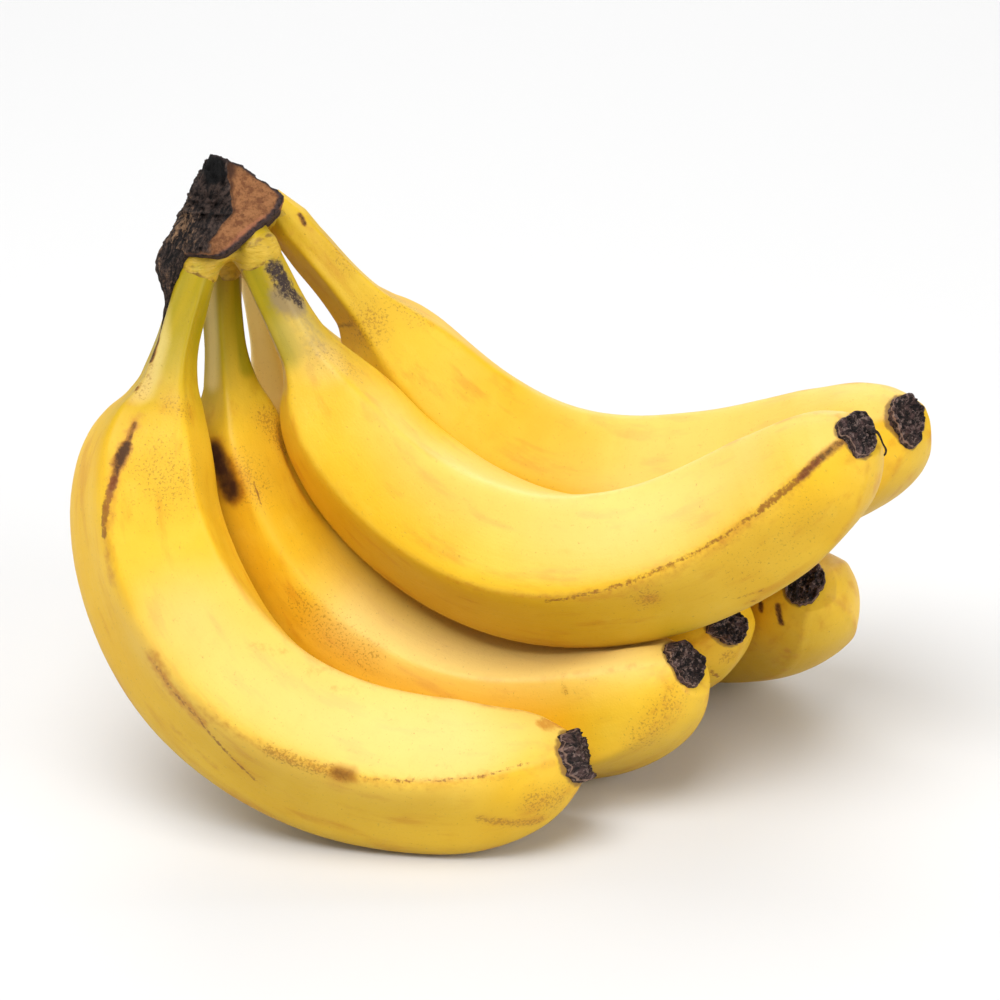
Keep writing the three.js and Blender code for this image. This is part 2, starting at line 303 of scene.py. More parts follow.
def place(piece: bpy.types.Object, node: str, material: bpy.types.Material
          ) -> bpy.types.Object:
    """Dresses a piece and puts it in the place of one of the part's solids.

    Args:
        piece: The piece to dress.
        node: The solid that it replaces.
        material: What it is dressed in.

    Returns:
        The same piece.
    """
    piece.data.materials.append(material)
    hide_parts(node)
    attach(piece, "root")
    LOG.info("built %s with %d points", piece.name, len(piece.data.vertices))
    return piece


# ------------------------------------------------------------------ materials

def colour(code: str) -> Colour:
    """Linear colour of a screen colour.

    A share s of full brightness becomes s / 12.92 where it is dark, up to 0.04045, and
    ((s + 0.055) / 1.055)^2.4 above that.

    Args:
        code: Six hexadecimal digits, such as E8B93A.

    Returns:
        Red, green, blue and a full alpha.
    """
    screen = np.array([int(code[k:k + 2], 16) for k in (0, 2, 4)]) / 255
    linear = np.where(screen <= 0.04045, screen / 12.92, ((screen + 0.055) / 1.055) ** 2.4)
    return (*(float(x) for x in linear), 1.0)


class Blend(Enum):
    """How one colour is laid over another."""

    OVER = "MIX"
    STAIN = "MULTIPLY"


class Sum(Enum):
    """A sum of two values."""

    PLUS = "ADD"
    MINUS = "SUBTRACT"
    TIMES = "MULTIPLY"
    LARGER = "MAXIMUM"


class Recipe:
    """Wires up one material's nodes, one line to an ingredient."""

    def __init__(self, name: str, roughness: float, specular: float) -> None:
        """Starts a material whose constant values sit on the shader itself.

        Args:
            name: The material's name.
            roughness: The shader's roughness.
            specular: The shader's specular level.
        """
        self.material = bpy.data.materials.new(name)
        self.material.use_nodes = True
        self.tree = self.material.node_tree
        self.shader = self.tree.nodes["Principled BSDF"]
        self.shader.inputs["Roughness"].default_value = roughness
        self.shader.inputs["Specular IOR Level"].default_value = specular

    def add(self, kind: str, inputs: dict[str | int, object], **settings: object
            ) -> bpy.types.Node:
        """Adds a node.

        Args:
            kind: The node's type.
            inputs: A socket to link or a value to set, for each input.
            **settings: The node's own properties.

        Returns:
            The new node.
        """
        node = self.tree.nodes.new(kind)
        for key, value in settings.items():
            setattr(node, key, value)
        for key, value in inputs.items():
            if isinstance(value, Socket):
                self.tree.links.new(value, node.inputs[key])
            else:
                node.inputs[key].default_value = value
        return node

    def channel(self, name: str) -> Socket:
        """A number stored on the mesh."""
        return self.add("ShaderNodeAttribute", {}, attribute_name=name).outputs["Fac"]

    def along(self, name: str, stretch: tuple[float, float, float]) -> Socket:
        """A vector stored on the mesh, scaled by stretch."""
        read = self.add("ShaderNodeAttribute", {}, attribute_name=name).outputs["Vector"]
        return self.add("ShaderNodeMapping", {"Vector": read, "Scale": stretch}).outputs[0]

    def noise(self, vector: Socket, scale: float, detail: float = 3,
              rough: float = 0.55) -> Socket:
        """Noise of that many cells per metre, about 0 to 1."""
        inputs = {"Vector": vector, "Scale": scale, "Detail": detail, "Roughness": rough}
        return self.add("ShaderNodeTexNoise", inputs).outputs["Fac"]

    def math(self, operation: Sum, a: Socket | float, b: Socket | float,
             clamp: bool = False) -> Socket:
        """One sum of two values, kept from 0 to 1 if it is clamped."""
        return self.add("ShaderNodeMath", {0: a, 1: b}, operation=operation.value,
                        use_clamp=clamp).outputs[0]

    def step(self, value: Socket, low: float, high: float) -> Socket:
        """Rises smoothly from 0 where value is low to 1 where it is high.

        Args:
            value: What is read.
            low: The value that becomes 0.
            high: The value that becomes 1, smaller than low where the step falls.

        Returns:
            The step.
        """
        inputs = {"Value": value, "From Min": low, "From Max": high}
        return self.add("ShaderNodeMapRange", inputs, interpolation_type="SMOOTHSTEP"
                        ).outputs[0]

    def mix(self, factor: Socket, under: Socket | Colour, over: Socket | Colour,
            blend: Blend = Blend.OVER) -> Socket:
        """Lays one colour over another.

        Args:
            factor: How much of the upper colour shows.
            under: The lower colour.
            over: The upper colour.
            blend: How the upper colour is laid.

        Returns:
            The mixed colour.
        """
        node = self.add("ShaderNodeMix", {0: factor, 6: under, 7: over},
                        data_type="RGBA", blend_type=blend.value)
        return node.outputs[2]

    def lay(self, under: Socket | Colour, code: str, mask: Socket, share: float = 1.0,
            blend: Blend = Blend.OVER) -> Socket:
        """Lays a screen colour over another where a mask is high, thinned to a share."""
        factor = mask if share == 1.0 else self.math(Sum.TIMES, mask, share)
        return self.mix(factor, under, colour(code), blend)

    def patches(self, vector: Socket, scale: float, detail: float,
                edge: tuple[float, float], rough: float = 0.55) -> Socket:
        """A mask of patches: noise sharpened between two edge values."""
        return self.step(self.noise(vector, scale, detail, rough), *edge)

    def ragged(self, mask: str, vector: Socket, scale: float, amount: float,
               edge: tuple[float, float]) -> Socket:
        """A stored mask whose edge is torn by noise, then sharpened.

        Args:
            mask: The channel on the mesh.
            vector: Where the noise is read.
            scale: The noise's cells per metre.
            amount: How much noise is added to the mask.
            edge: Values that become 0 and 1.

        Returns:
            The torn mask.
        """
        grain = self.math(Sum.TIMES, self.math(Sum.MINUS, self.noise(vector, scale, 5), 0.5),
                          amount)
        value = self.math(Sum.PLUS, self.channel(mask), grain)
        return self.step(value, *edge)

    def bump(self, height: Socket, distance: float, strength: float = 1.0,
             under: Socket | None = None) -> Socket:
        """Raises the shading by height times distance, over an earlier bump if given.

        Args:
            height: The relief, about 0 to 1.
            distance: What a height of 1 stands for in metres, below 0 to sink it.
            strength: How much of the relief shows.
            under: The normal of an earlier bump.

        Returns:
            The normal of the raised surface.
        """
        inputs = {"Height": height, "Distance": distance, "Strength": strength}
        if under is not None:
            inputs["Normal"] = under
        return self.add("ShaderNodeBump", inputs).outputs[0]

    def finish(self, base: Socket, roughness: Socket | None, normal: Socket
               ) -> bpy.types.Material:
        """Connects the results to the shader.

        Args:
            base: The surface's colour.
            roughness: Its roughness, or None where the shader's own constant holds.
            normal: Its raised normal.

        Returns:
            The finished material.
        """
        for key, value in (("Base Color", base), ("Roughness", roughness), ("Normal", normal)):
            if value is not None:
                self.tree.links.new(value, self.shader.inputs[key])
        return self.material


@dataclass(frozen=True)
class PeelFinish:
    """Ripe peel: lemon to orange yellows, green stems, brown ridges, specks, scars, painted
    top highlight and underside shade.
    """

    ripe: str = "EEC02E"
    warm: str = "E8B61E"
    lemon: str = "F3CC45"
    smudge: str = "DCA038"
    painted_top_highlight: str = "F6D680"
    painted_underside_shade: str = "BEC2D4"
    unripe: str = "9A8900"
    pale: str = "F6DC90"
    tan: str = "BE7620"
    speck: str = "8C5F18"
    speck_haze: str = "B87A28"
    collar: str = "6A4528"
    scuff_dark: str = "362A27"
    scuff_light: str = "86704E"
    veil: str = "8A7862"
    bruise: str = "3A1C08"
    bruise_halo: str = "A8660A"
    scar: str = "3C2416"
    scar_halo: str = "9C5C22"
    scratch: str = "7C4018"
    crease: str = "6A4412"
    roughness: float = 0.4
    specular: float = 0.3

    def material(self) -> bpy.types.Material:
        """Builds the peel's nodes over the straightened finger's coordinates.

        Returns:
            The peel's material.
        """
        r = Recipe("peel_ripe", self.roughness, self.specular)
        even = r.along("straight", (1, 1, 1))
        fibre = r.along("straight", (0.07, 1, 1))
        skin = self._wear(r, self._yellows(r, even, fibre), even)
        skin, marks = self._blemishes(r, skin, even)
        drift = r.math(Sum.TIMES, r.noise(even, 300), 0.12)
        rough = r.math(Sum.PLUS, r.math(Sum.TIMES, marks, 0.3),
                       r.math(Sum.PLUS, drift, self.roughness))
        pores = r.bump(r.noise(even, 1900), 0.0002, 0.3)
        dents = r.bump(r.noise(fibre, 700, 2), 0.0003, 0.2, pores)
        return r.finish(skin, rough, r.bump(marks, -0.0004, 0.5, dents))

    def _yellows(self, r: Recipe, even: Socket, fibre: Socket) -> Socket:
        """Ground colour: slow drift between yellows, faint smudges, painted top highlight and
        underside shade, green and pale parts.

        Args:
            r: The material being made.
            even: Coordinates over the straightened finger.
            fibre: The same, drawn out along it.

        Returns:
            The colour.
        """
        skin = r.lay(colour(self.ripe), self.warm, r.patches(even, 38, 3, (0.35, 0.65)))
        skin = r.lay(skin, self.lemon, r.patches(even, 120, 4, (0.5, 0.8)), 0.3)
        drawn = r.along("straight", (0.25, 1, 1))
        skin = r.lay(skin, self.smudge, r.patches(drawn, 230, 5, (0.52, 0.72)), 0.35,
                     Blend.STAIN)
        # Painted highlight: paler cream laid on the body's upward-facing skin.
        painted_light_facing = r.channel("painted_top_highlight")
        skin = r.lay(skin, self.painted_top_highlight, r.step(painted_light_facing, 0.45, 1.0), 0.55)
        # Painted shade: a grey stain multiplied over skin that faces the table.
        skin = r.lay(skin, self.painted_underside_shade, r.step(painted_light_facing, 0.1, -0.7), 0.65, Blend.STAIN)
        streak = r.math(Sum.PLUS, r.math(Sum.TIMES, r.noise(fibre, 240), 0.8), 0.55)
        green = r.math(Sum.TIMES, r.channel("unripe"), streak, clamp=True)
        skin = r.lay(skin, self.unripe, green)
        # Pale strokes: paler peel by the stems, and wide strokes over upper faces that are
        # painted highlight.
        return r.lay(skin, self.pale, r.channel("pale"))

    def _wear(self, r: Recipe, skin: Socket, even: Socket) -> Socket:
        """Browned ridges, rubbed places, specks and the stain round the blossom end.

        Args:
            r: The material being made.
            skin: The colour so far.
            even: Coordinates over the straightened finger.

        Returns:
            The worn colour.
        """
        worn = r.math(Sum.TIMES, r.channel("ridge"), r.patches(even, 170, 4, (0.42, 0.66)))
        tan = r.math(Sum.LARGER, worn, r.ragged("tan", even, 620, 1.2, (0.2, 1.1)))
        skin = r.lay(skin, self.tan, tan, 0.75)
        fine = r.patches(even, 1800, 2, (0.68, 0.75))
        rare = r.patches(even, 90, 2, (0.52, 0.7))
        faint = r.math(Sum.TIMES, r.math(Sum.TIMES, fine, rare), 0.4)
        crowd = r.math(Sum.TIMES, r.channel("speckle"), 0.17)
        dense = r.step(r.math(Sum.PLUS, r.noise(even, 1700, 4, 0.6), crowd), 0.62, 0.78)
        specks = r.math(Sum.LARGER, faint, r.math(Sum.TIMES, dense, 0.55))
        skin = r.lay(skin, self.speck, specks)
        skin = r.lay(skin, self.speck_haze, r.channel("speckle"), 0.2)
        return r.lay(skin, self.collar, r.ragged("collar", even, 650, 0.8, (0.4, 1.0)), 0.75)

    def _blemishes(self, r: Recipe, skin: Socket, even: Socket) -> tuple[Socket, Socket]:
        """Veils, scuffs, bruises, scars, scratches and creases.

        Args:
            r: The material being made.
            skin: The colour so far.
            even: Coordinates over the straightened finger.

        Returns:
            The marked colour and a mask of the deepest marks.
        """
        skin = r.lay(skin, self.veil, r.ragged("veil", even, 700, 0.8, (0.1, 1.0)), 0.75)
        scuff = r.ragged("scuff", even, 900, 2.0, (0.25, 1.0))
        grit = r.patches(even, 1500, 5, (0.52, 0.66), 0.7)
        skin = r.mix(scuff, skin, r.lay(colour(self.scuff_dark), self.scuff_light, grit))
        halo = r.ragged("bruise", even, 300, 0.5, (0.0, 0.7))
        skin = r.lay(skin, self.bruise_halo, halo, 0.75)
        bruise = r.ragged("bruise", even, 420, 0.6, (0.3, 1.05))
        skin = r.lay(skin, self.bruise, bruise)
        halo = r.ragged("scar", even, 700, 0.9, (0.1, 0.75))
        skin = r.lay(skin, self.scar_halo, halo, 0.7)
        scar = r.ragged("scar", even, 900, 1.0, (0.4, 1.0))
        skin = r.lay(skin, self.scar, scar, 0.92)
        scratch = r.ragged("scratch", even, 1100, 1.6, (0.45, 0.9))
        skin = r.lay(skin, self.scratch, scratch, 0.75)
        skin = r.lay(skin, self.crease, r.ragged("crease", even, 900, 0.8, (0.3, 0.9)), 0.7)
        return skin, r.math(Sum.LARGER, scar, r.math(Sum.LARGER, bruise, scuff))


@dataclass(frozen=True)
class BlossomFinish:
    """Dried blossom end: dark maroon crumpled tissue with a thin papery edge, painted shade on
    its inner floor and painted highlights on its crests.
    """

    dark_tissue_and_shade: str = "120C0C"
    flesh: str = "6A504C"
    crest: str = "A48A80"
    fleck: str = "7E5A52"
    rim: str = "B4907C"
    roughness: float = 0.7
    specular: float = 0.3

    def material(self) -> bpy.types.Material:
        """Builds the blossom's nodes over its rim, floor and own coordinates.

        Returns:
            The blossom end's material.
        """
        r = Recipe("blossom_dried", self.roughness, self.specular)
        even = r.along("straight", (1, 1, 1))
        body = r.lay(colour(self.dark_tissue_and_shade), self.flesh,
                     r.patches(even, 640, 5, (0.4, 0.62), 0.7))
        # Painted shade: darker patches laid only over the disc's sunken inner floor.
        painted_floor_shade = r.patches(even, 310, 2, (0.56, 0.42), 0.5)
        body = r.lay(body, self.dark_tissue_and_shade, r.math(Sum.TIMES, painted_floor_shade, r.channel("inside")), 0.75)
        # Painted highlight: lighter crests scattered by noise over the crumpled tissue.
        body = r.lay(body, self.crest, r.patches(even, 900, 5, (0.52, 0.62), 0.72), 0.75)
        body = r.lay(body, self.fleck, r.patches(even, 2300, 4, (0.6, 0.72), 0.7), 0.35)
        body = r.lay(body, self.rim, r.ragged("rim", even, 900, 1.4, (0.5, 1.0)), 0.8)
        return r.finish(body, None, r.bump(r.noise(even, 1500, 6, 0.75), 0.0014))


@dataclass(frozen=True)
class CrownFinish:
    """Cut crown: tan corky cut, torn dark fibres, black apex, a dark dry rim and a painted
    highlight on its lower-left lip.
    """

    cork: str = "744628"
    cork_light: str = "A06C42"
    cork_dark: str = "4A2C1A"
    pore: str = "4A2E1C"
    blush: str = "A8684E"
    torn_deep: str = "171211"
    torn: str = "5E4C44"
    torn_light: str = "B48C68"
    black: str = "0B0909"
    rim: str = "453533"
    rim_dark: str = "1E1515"
    painted_lip_highlight: str = "BFA79A"
    roughness: float = 0.82
    specular: float = 0.3

    def material(self) -> bpy.types.Material:
        """Builds the crown's nodes: cork and fibre mixed by the masks on the mesh.

        Returns:
            The crown's material.
        """
        r = Recipe("crown_dry", self.roughness, self.specular)
        even = r.along("place", (1, 1, 1))
        strand = r.along("fibre", (0.3, 1, 1))
        cork = r.lay(colour(self.cork), self.cork_light,
                     r.patches(even, 520, 6, (0.38, 0.6), 0.72))
        cork = r.lay(cork, self.blush, r.ragged("blush", even, 500, 0.7, (0.3, 1.0)), 0.6)
        cork = r.lay(cork, self.cork_dark, r.ragged("shade", even, 600, 0.9, (0.35, 1.1)))
        cork = r.lay(cork, self.pore, r.patches(even, 1700, 5, (0.54, 0.7), 0.75), 0.7)

        rough = r.math(Sum.PLUS, r.math(Sum.TIMES, r.noise(strand, 950, 6, 0.72), 0.55),
                       r.math(Sum.TIMES, r.noise(even, 1250, 6, 0.75), 0.45))
        torn = r.lay(colour(self.torn_deep), self.torn, r.step(rough, 0.43, 0.58))
        light = r.math(Sum.PLUS, r.math(Sum.TIMES, r.channel("frayed"), 0.11), rough)
        torn = r.lay(torn, self.torn_light, r.step(light, 0.56, 0.7))

        body = r.mix(r.ragged("torn", even, 620, 0.5, (0.35, 0.65)), cork, torn)
        body = r.lay(body, self.black, r.ragged("black", strand, 300, 1.6, (0.35, 0.95)))
        edge = r.lay(colour(self.rim), self.rim_dark,
                     r.patches(even, 1200, 4, (0.45, 0.65), 0.7))
        body = r.mix(r.ragged("rim", even, 800, 0.5, (0.4, 0.75)), body, edge)
        # Painted highlight: a pale line along the rim's lower-left lip.
        body = r.lay(body, self.painted_lip_highlight, r.ragged("painted_lip_highlight", even, 900, 1.3, (0.6, 0.95)), 0.8)
        normal = r.bump(r.noise(even, 1500, 5, 0.7), 0.0007, 0.9)
        fibres = r.math(Sum.TIMES, rough, r.channel("torn"))
        return r.finish(body, None, r.bump(fibres, 0.003, 1.0, normal))


@dataclass(frozen=True)
class CushionFinish:
    """Crown cushion: yellow-green flesh where the stems join, browned in creases."""

    flesh: str = "BC981A"
    light: str = "D4AE34"
    green: str = "9C900E"
    fold: str = "7E6410"
    dry: str = "32231C"
    crease: str = "5A3412"
    roughness: float = 0.5
    specular: float = 0.45

    def material(self) -> bpy.types.Material:
        """Builds the cushion's nodes, browned where a stem leaves it.

        Returns:
            The cushion's material.
        """
        r = Recipe("crown_cushion", self.roughness, self.specular)
        even = r.along("place", (1, 1, 1))
        folds = r.along("place", (0.5, 0.5, 2.2))
        skin = r.lay(colour(self.flesh), self.light, r.patches(even, 110, 4, (0.35, 0.65)))
        skin = r.lay(skin, self.green, r.patches(even, 300, 4, (0.5, 0.75)), 0.5)
        skin = r.lay(skin, self.fold, r.patches(folds, 900, 4, (0.6, 0.72)), 0.6)
        skin = r.lay(skin, self.dry, r.ragged("dry", even, 500, 0.5, (0.35, 0.7)))
        skin = r.lay(skin, self.crease, r.ragged("crease", even, 500, 1.8, (0.7, 1.2)), 0.7)
        return r.finish(skin, None, r.bump(r.noise(folds, 600, 4), 0.0009, 0.6))


# ------------------------------------------------------------------ fingers

@dataclass(frozen=True)
class FingerShape:
    """Driving dimensions of one finger, in millimetres and degrees."""

    name: str
    base: tuple[float, float, float]  # where the stem leaves the crown
    heading: float  # the stem's direction over the table, from +X towards +Y
    dip: float  # how far it points down
    roll: float  # turn of the bend about the stem
    length: float  # along the centre line
    girth: float  # mean radius of the body
    bend: tuple[float, ...]  # rate of bending over a whole length, at BEND_AT
    lean: tuple[float, float]  # sideways lean at the last two of LEAN_AT
    ridge: float  # where the first ridge starts, from the bend's outer side
    wind: float  # turn of the ridges over the whole length
    root: float  # length of stem inside the crown
    neck: float  # thickness of the neck as a share of the usual
    green: float  # how unripe the stem still is
    soft: float = 0.0  # how far the ridges are rounded off


def angle_round(away: np.ndarray, hollow: np.ndarray, cross: np.ndarray) -> np.ndarray:
    """Angle from the bend's outer side of vectors that leave a centre line."""
    return np.arctan2(-(away * cross).sum(-1), -(away * hollow).sum(-1))


class CentreLine:
    """A finger's centre line: points and the three directions carried along it."""

    def __init__(self, shape: FingerShape) -> None:
        """Adds up the bend and the lean, station by station, with the mean of each step.

        Args:
            shape: The finger's driving dimensions.
        """
        heading, dip, roll = np.radians([shape.heading, shape.dip, shape.roll])
        along = np.array([np.cos(dip) * np.cos(heading), np.cos(dip) * np.sin(heading),
                          -np.sin(dip)])
        side = np.array([-np.sin(heading), np.cos(heading), 0])
        inward = np.cos(roll) * np.cross(along, side) + np.sin(roll) * side
        frame = np.stack([along, inward, np.cross(along, inward)])
        share = np.linspace(0, 1, STATIONS + 1)
        bend = smooth_curve(BEND_AT, np.radians(shape.bend), share)
        turn = np.concatenate([[0], np.cumsum((bend[1:] + bend[:-1]) / 2 / STATIONS)])
        lean = np.radians((0, 0) + shape.lean)
        tilt = smooth_curve(LEAN_AT, lean, share)
        self.go = np.stack([np.cos(tilt) * np.cos(turn), np.cos(tilt) * np.sin(turn),
                            np.sin(tilt)], 1) @ frame
        step = (self.go[1:] + self.go[:-1]) / 2 / STATIONS * shape.length
        self.point = np.concatenate([np.zeros((1, 3)), np.cumsum(step, axis=0)]) + shape.base
        self.hollow = np.stack([-np.sin(turn), np.cos(turn), 0 * turn], 1) @ frame
        self.cross = np.cross(self.go, self.hollow)

    def at(self, share: np.ndarray) -> tuple[np.ndarray, np.ndarray, np.ndarray, np.ndarray]:
        """Reads the line, straight between stations.

        Args:
            share: Shares of the length.

        Returns:
            The points, and the directions along, into the bend's hollow and across.
        """
        x = np.clip(share, 0, 1) * STATIONS
        i = np.minimum(np.floor(x).astype(int), STATIONS - 1)
        t = (x - i)[..., None]
        return tuple(k[i] * (1 - t) + k[i + 1] * t
                     for k in (self.point, self.go, self.hollow, self.cross))


class Kind(Enum):
    """What a mark looks like, by the channel that it is stored in; the pale strokes are partly
    painted highlight.
    """

    SCAR = "scar"
    SCRATCH = "scratch"
    BRUISE = "bruise"
    SCUFF = "scuff"
    SPECKLE = "speckle"
    TAN = "tan"
    # Paler peel, with wide strokes that are painted highlight on upper faces.
    PALE_AND_HIGHLIGHT = "pale"
    GREEN = "unripe"
    CREASE = "crease"
    VEIL = "veil"


@dataclass(frozen=True)
class Mark:
    """One mark, such as a blemish or a painted highlight: a stroke through points (share of
    length, degrees round).
    """

    kind: Kind
    path: tuple[tuple[float, float], ...]
    width: float  # mm
    strength: float = 1.0
    soft: float = 0.5  # share of the half width over which it fades, to each side


class Finger:
    """One banana: skin, blemishes, painted highlights and dried blossom end."""

    def __init__(self, shape: FingerShape, blossom: "BlossomShape",
                 marks: tuple[Mark, ...], seed: int) -> None:
        """Keeps the driving values and works out the centre line.

        Args:
            shape: Driving dimensions of the skin.
            blossom: The dried end on its tip.
            marks: Its blemishes and painted highlights.
            seed: Seed of its noise, which also picks its own stretch of the peel's pattern.
        """
        self.shape = shape
        self.blossom = blossom
        self.marks = marks
        self.line = CentreLine(shape)
        self.noise = ValueNoise(seed)
        self.offset = np.array([310.0 * seed, 0, 0])

    def radius(self, share: np.ndarray, turn: np.ndarray) -> np.ndarray:
        """Skin radius at a share of the length and an angle from the bend's outer side.

        The mean radius slides between an outer and an inner profile with the angle, and
        the section is the p-norm of five flats, p being the ridge sharpness.

        Args:
            share: Shares of the length.
            turn: Angles in radians.

        Returns:
            Radii in mm.
        """
        outer = (1 + np.cos(turn)) / 2
        neck = self.shape.neck + (1 - self.shape.neck) * smooth_step(share, *NECK_END)
        mean = neck * (smooth_curve(GIRTH_AT, INNER_SHARE, share) * (1 - outer)
                       + smooth_curve(GIRTH_AT, OUTER_SHARE, share) * outer)
        section = self._section(share, turn) / RIDGE_SCALE
        soft = self.shape.soft
        rounding = soft + (TIP_ROUNDING - soft) * smooth_step(share, *RIDGES_FADE)
        foot = FOOT_ROUNDING * (1 - smooth_step(share, *RIDGES_RISE))
        section = section + (1 - section) * np.maximum(rounding, foot)
        return self.shape.girth * mean * section

    def _section(self, share: np.ndarray, turn: np.ndarray) -> np.ndarray:
        """The five-sided section's radius for flats at distance 1.

        Args:
            share: Shares of the length.
            turn: Angles in radians.

        Returns:
            The radius over the flats' distance.
        """
        flat = (np.radians(self.shape.ridge + self.shape.wind * share)
                + np.pi / RIDGE_COUNT)
        total = sum(np.maximum(np.cos(turn - flat - 2 * np.pi * k / RIDGE_COUNT), 0)
                    ** RIDGE_SHARPNESS for k in range(RIDGE_COUNT))
        return total ** (-1 / RIDGE_SHARPNESS)

    def ridge_nearness(self, share: np.ndarray, turn: np.ndarray, width: float) -> np.ndarray:
        """How near the skin is to a ridge.

        Args:
            share: Shares of the length.
            turn: Angles in radians.
            width: Distance in mm at which nearness ends.

        Returns:
            1 on a ridge, falling to 0 at the width to each side.
        """
        ridge = np.radians(self.shape.ridge + self.shape.wind * share)
        pitch = 2 * np.pi / RIDGE_COUNT
        off = np.abs((turn - ridge + pitch / 2) % pitch - pitch / 2)
        arc = off * self.shape.girth * smooth_curve(GIRTH_AT, OUTER_SHARE, share)
        return 1 - smooth_step(arc, 0, width)

    def press_out(self, points: np.ndarray, other: "Finger") -> np.ndarray:
        """Moves points out of another finger along the ray from its centre line.

        The new distance is the smooth maximum of the old one and the other's skin
        radius plus the press gap: (a + b + sqrt((a - b)^2 + w^2)) / 2.

        Args:
            points: Skin points in mm.
            other: The firmer finger.

        Returns:
            The points, moved where they were inside.
        """
        flat = points.reshape(-1, 3)
        low = flat.min(0) - PRESS_MARGIN
        high = flat.max(0) + PRESS_MARGIN
        reach = PRESS_REACH * other.shape.girth
        line = other.line.point
        if np.any(line.max(0) + reach < low) or np.any(line.min(0) - reach > high):
            return points
        steps = line[1:] - line[:-1]
        near = np.full(len(flat), np.inf)
        share = np.zeros(len(flat))
        for i, (start, step) in enumerate(zip(line[:-1], steps)):
            t = np.clip((flat - start) @ step / (step @ step), 0, 1)
            gap = np.linalg.norm(flat - start - t[:, None] * step, axis=1)
            closer = gap < near
            near[closer] = gap[closer]
            share[closer] = (i + t[closer]) / STATIONS
        todo = np.flatnonzero((share > 0) & (share < 1) & (near < reach))
        point, _, hollow, cross = other.line.at(share[todo])
        away = flat[todo] - point
        turn = angle_round(away, hollow, cross)
        skin = other.radius(share[todo], turn) + PRESS_GAP
        far = np.linalg.norm(away, axis=1)
        pushed = (far + skin + np.sqrt((far - skin) ** 2 + PRESS_SOFTNESS**2)) / 2
        ease = np.minimum(1, np.minimum(share[todo], 1 - share[todo]) * PRESS_EASE)
        out = flat.copy()
        out[todo] = point + away * ((far + (pushed - far) * ease) / far)[:, None]
        return out.reshape(points.shape)

    def skin(self, firm: tuple["Finger", ...]) -> tuple[np.ndarray, dict[str, np.ndarray]]:
        """Skin points in mm and the channels stored on them.

        Rings stand at share t - 0.05 sin(2 pi t), closer together at both ends. Each
        point is centre - cos(a) r hollow - sin(a) r cross, with a little waviness in r,
        then pushed out of the firmer fingers and kept above the table.

        Args:
            firm: Fingers that this one yields to.

        Returns:
            The rings and their channels.
        """
        shape = self.shape
        t = np.linspace(0, 1, FINGER_ROWS)
        share = t - 0.05 * np.sin(2 * np.pi * t)
        sunk = np.linspace(-shape.root, 0, ROOT_ROWS, endpoint=False)
        along = np.concatenate([sunk, share * shape.length])
        turn = np.linspace(0, 2 * np.pi, FINGER_SIDES, endpoint=False)
        rows, turns = np.meshgrid(along / shape.length, turn, indexing="ij")
        inside = np.clip(-along / shape.root, 0, 1)
        radius = self.radius(np.clip(rows, 0, 1), turns)
        radius = radius * (1 - (1 - ROOT_TAPER) * inside)[:, None]
        straight = np.stack([rows * shape.length, radius * np.cos(turns),
                             radius * np.sin(turns)], -1) + self.offset
        radius = radius + self._waviness(straight, rows, turns)
        point, go, hollow, cross = self.line.at(np.clip(along / shape.length, 0, 1))
        point = point + go * np.minimum(along, 0)[:, None]
        skin = (point[:, None] - (np.cos(turns) * radius)[..., None] * hollow[:, None]
                - (np.sin(turns) * radius)[..., None] * cross[:, None])
        for _ in range(2):
            for other in firm:
                skin = self.press_out(skin, other)
        skin[..., 2] = np.maximum(skin[..., 2], 0)
        channels = {kind.value: self._painted(kind, rows, turns) for kind in Kind}
        channels["straight"] = straight * MM
        # How far the body's skin faces up, which sets its painted top highlight.
        channels["painted_top_highlight"] = self._upward(skin) * smooth_step(rows, 0.2, 0.42)
        channels["ridge"] = self._worn_ridges(rows, turns)
        channels["unripe"] = np.maximum(channels["unripe"], self._unripe(rows, turns))
        channels["collar"] = self.blossom.collar(point[-1] - skin, hollow[-1], cross[-1])
        return skin, channels

    def _waviness(self, straight: np.ndarray, share: np.ndarray, turn: np.ndarray
                  ) -> np.ndarray:
        """Rise and fall of the skin: slow swells, drawn ripples and proud ridges.

        Args:
            straight: Points over the straightened finger, in mm.
            share: Shares of the length.
            turn: Angles in radians.

        Returns:
            Heights in mm.
        """
        body = smooth_step(share, 0.12, 0.26)
        swell = SWELL[0] * body * self.noise.at(straight, SWELL[1])
        at_stem, on_body, length = RIPPLE
        ripple = (at_stem + on_body * body) * self.noise.at(straight * [0.5, 1, 1], length)
        ridge = RIDGE_PROUD * self.ridge_nearness(share, turn, 2.0)
        return swell + ripple + ridge * (0.6 + 0.4 * self.noise.at(straight, 12))

    def _upward(self, skin: np.ndarray) -> np.ndarray:
        """Which way the skin faces, from the cross product of its two tangents.

        Args:
            skin: Skin points in mm, by row and side.

        Returns:
            The outward direction's height, -1 facing the table to 1 facing up.
        """
        along = np.gradient(skin, axis=0)
        round_ = np.roll(skin, -1, axis=1) - np.roll(skin, 1, axis=1)
        out = np.cross(round_, along)
        out = out / np.maximum(np.linalg.norm(out, axis=-1, keepdims=True), 1e-9)
        away = skin - skin.mean(axis=1, keepdims=True)
        return out[..., 2] * np.sign((out * away).sum(-1).mean())

    def _unripe(self, share: np.ndarray, turn: np.ndarray) -> np.ndarray:
        """Green left in the stem, fading over the shoulder, and a trace of it at the tip.

        Args:
            share: Shares of the length.
            turn: Angles in radians.

        Returns:
            Strengths from 0 to 1.
        """
        wave = 0.02 * np.cos(turn * 2 + self.shape.ridge)
        return self.shape.green * (1 - smooth_step(share + wave, 0.08, 0.24)
                                   ) + 0.08 * smooth_step(share, 0.93, 0.99)

    def _worn_ridges(self, share: np.ndarray, turn: np.ndarray) -> np.ndarray:
        """Ridges brown along the body, most towards the blossom end."""
        fade = 0.2 * smooth_step(share, 0.3, 0.55) + 0.4 * smooth_step(share, 0.7, 0.95)
        return self.ridge_nearness(share, turn, 1.5) * fade

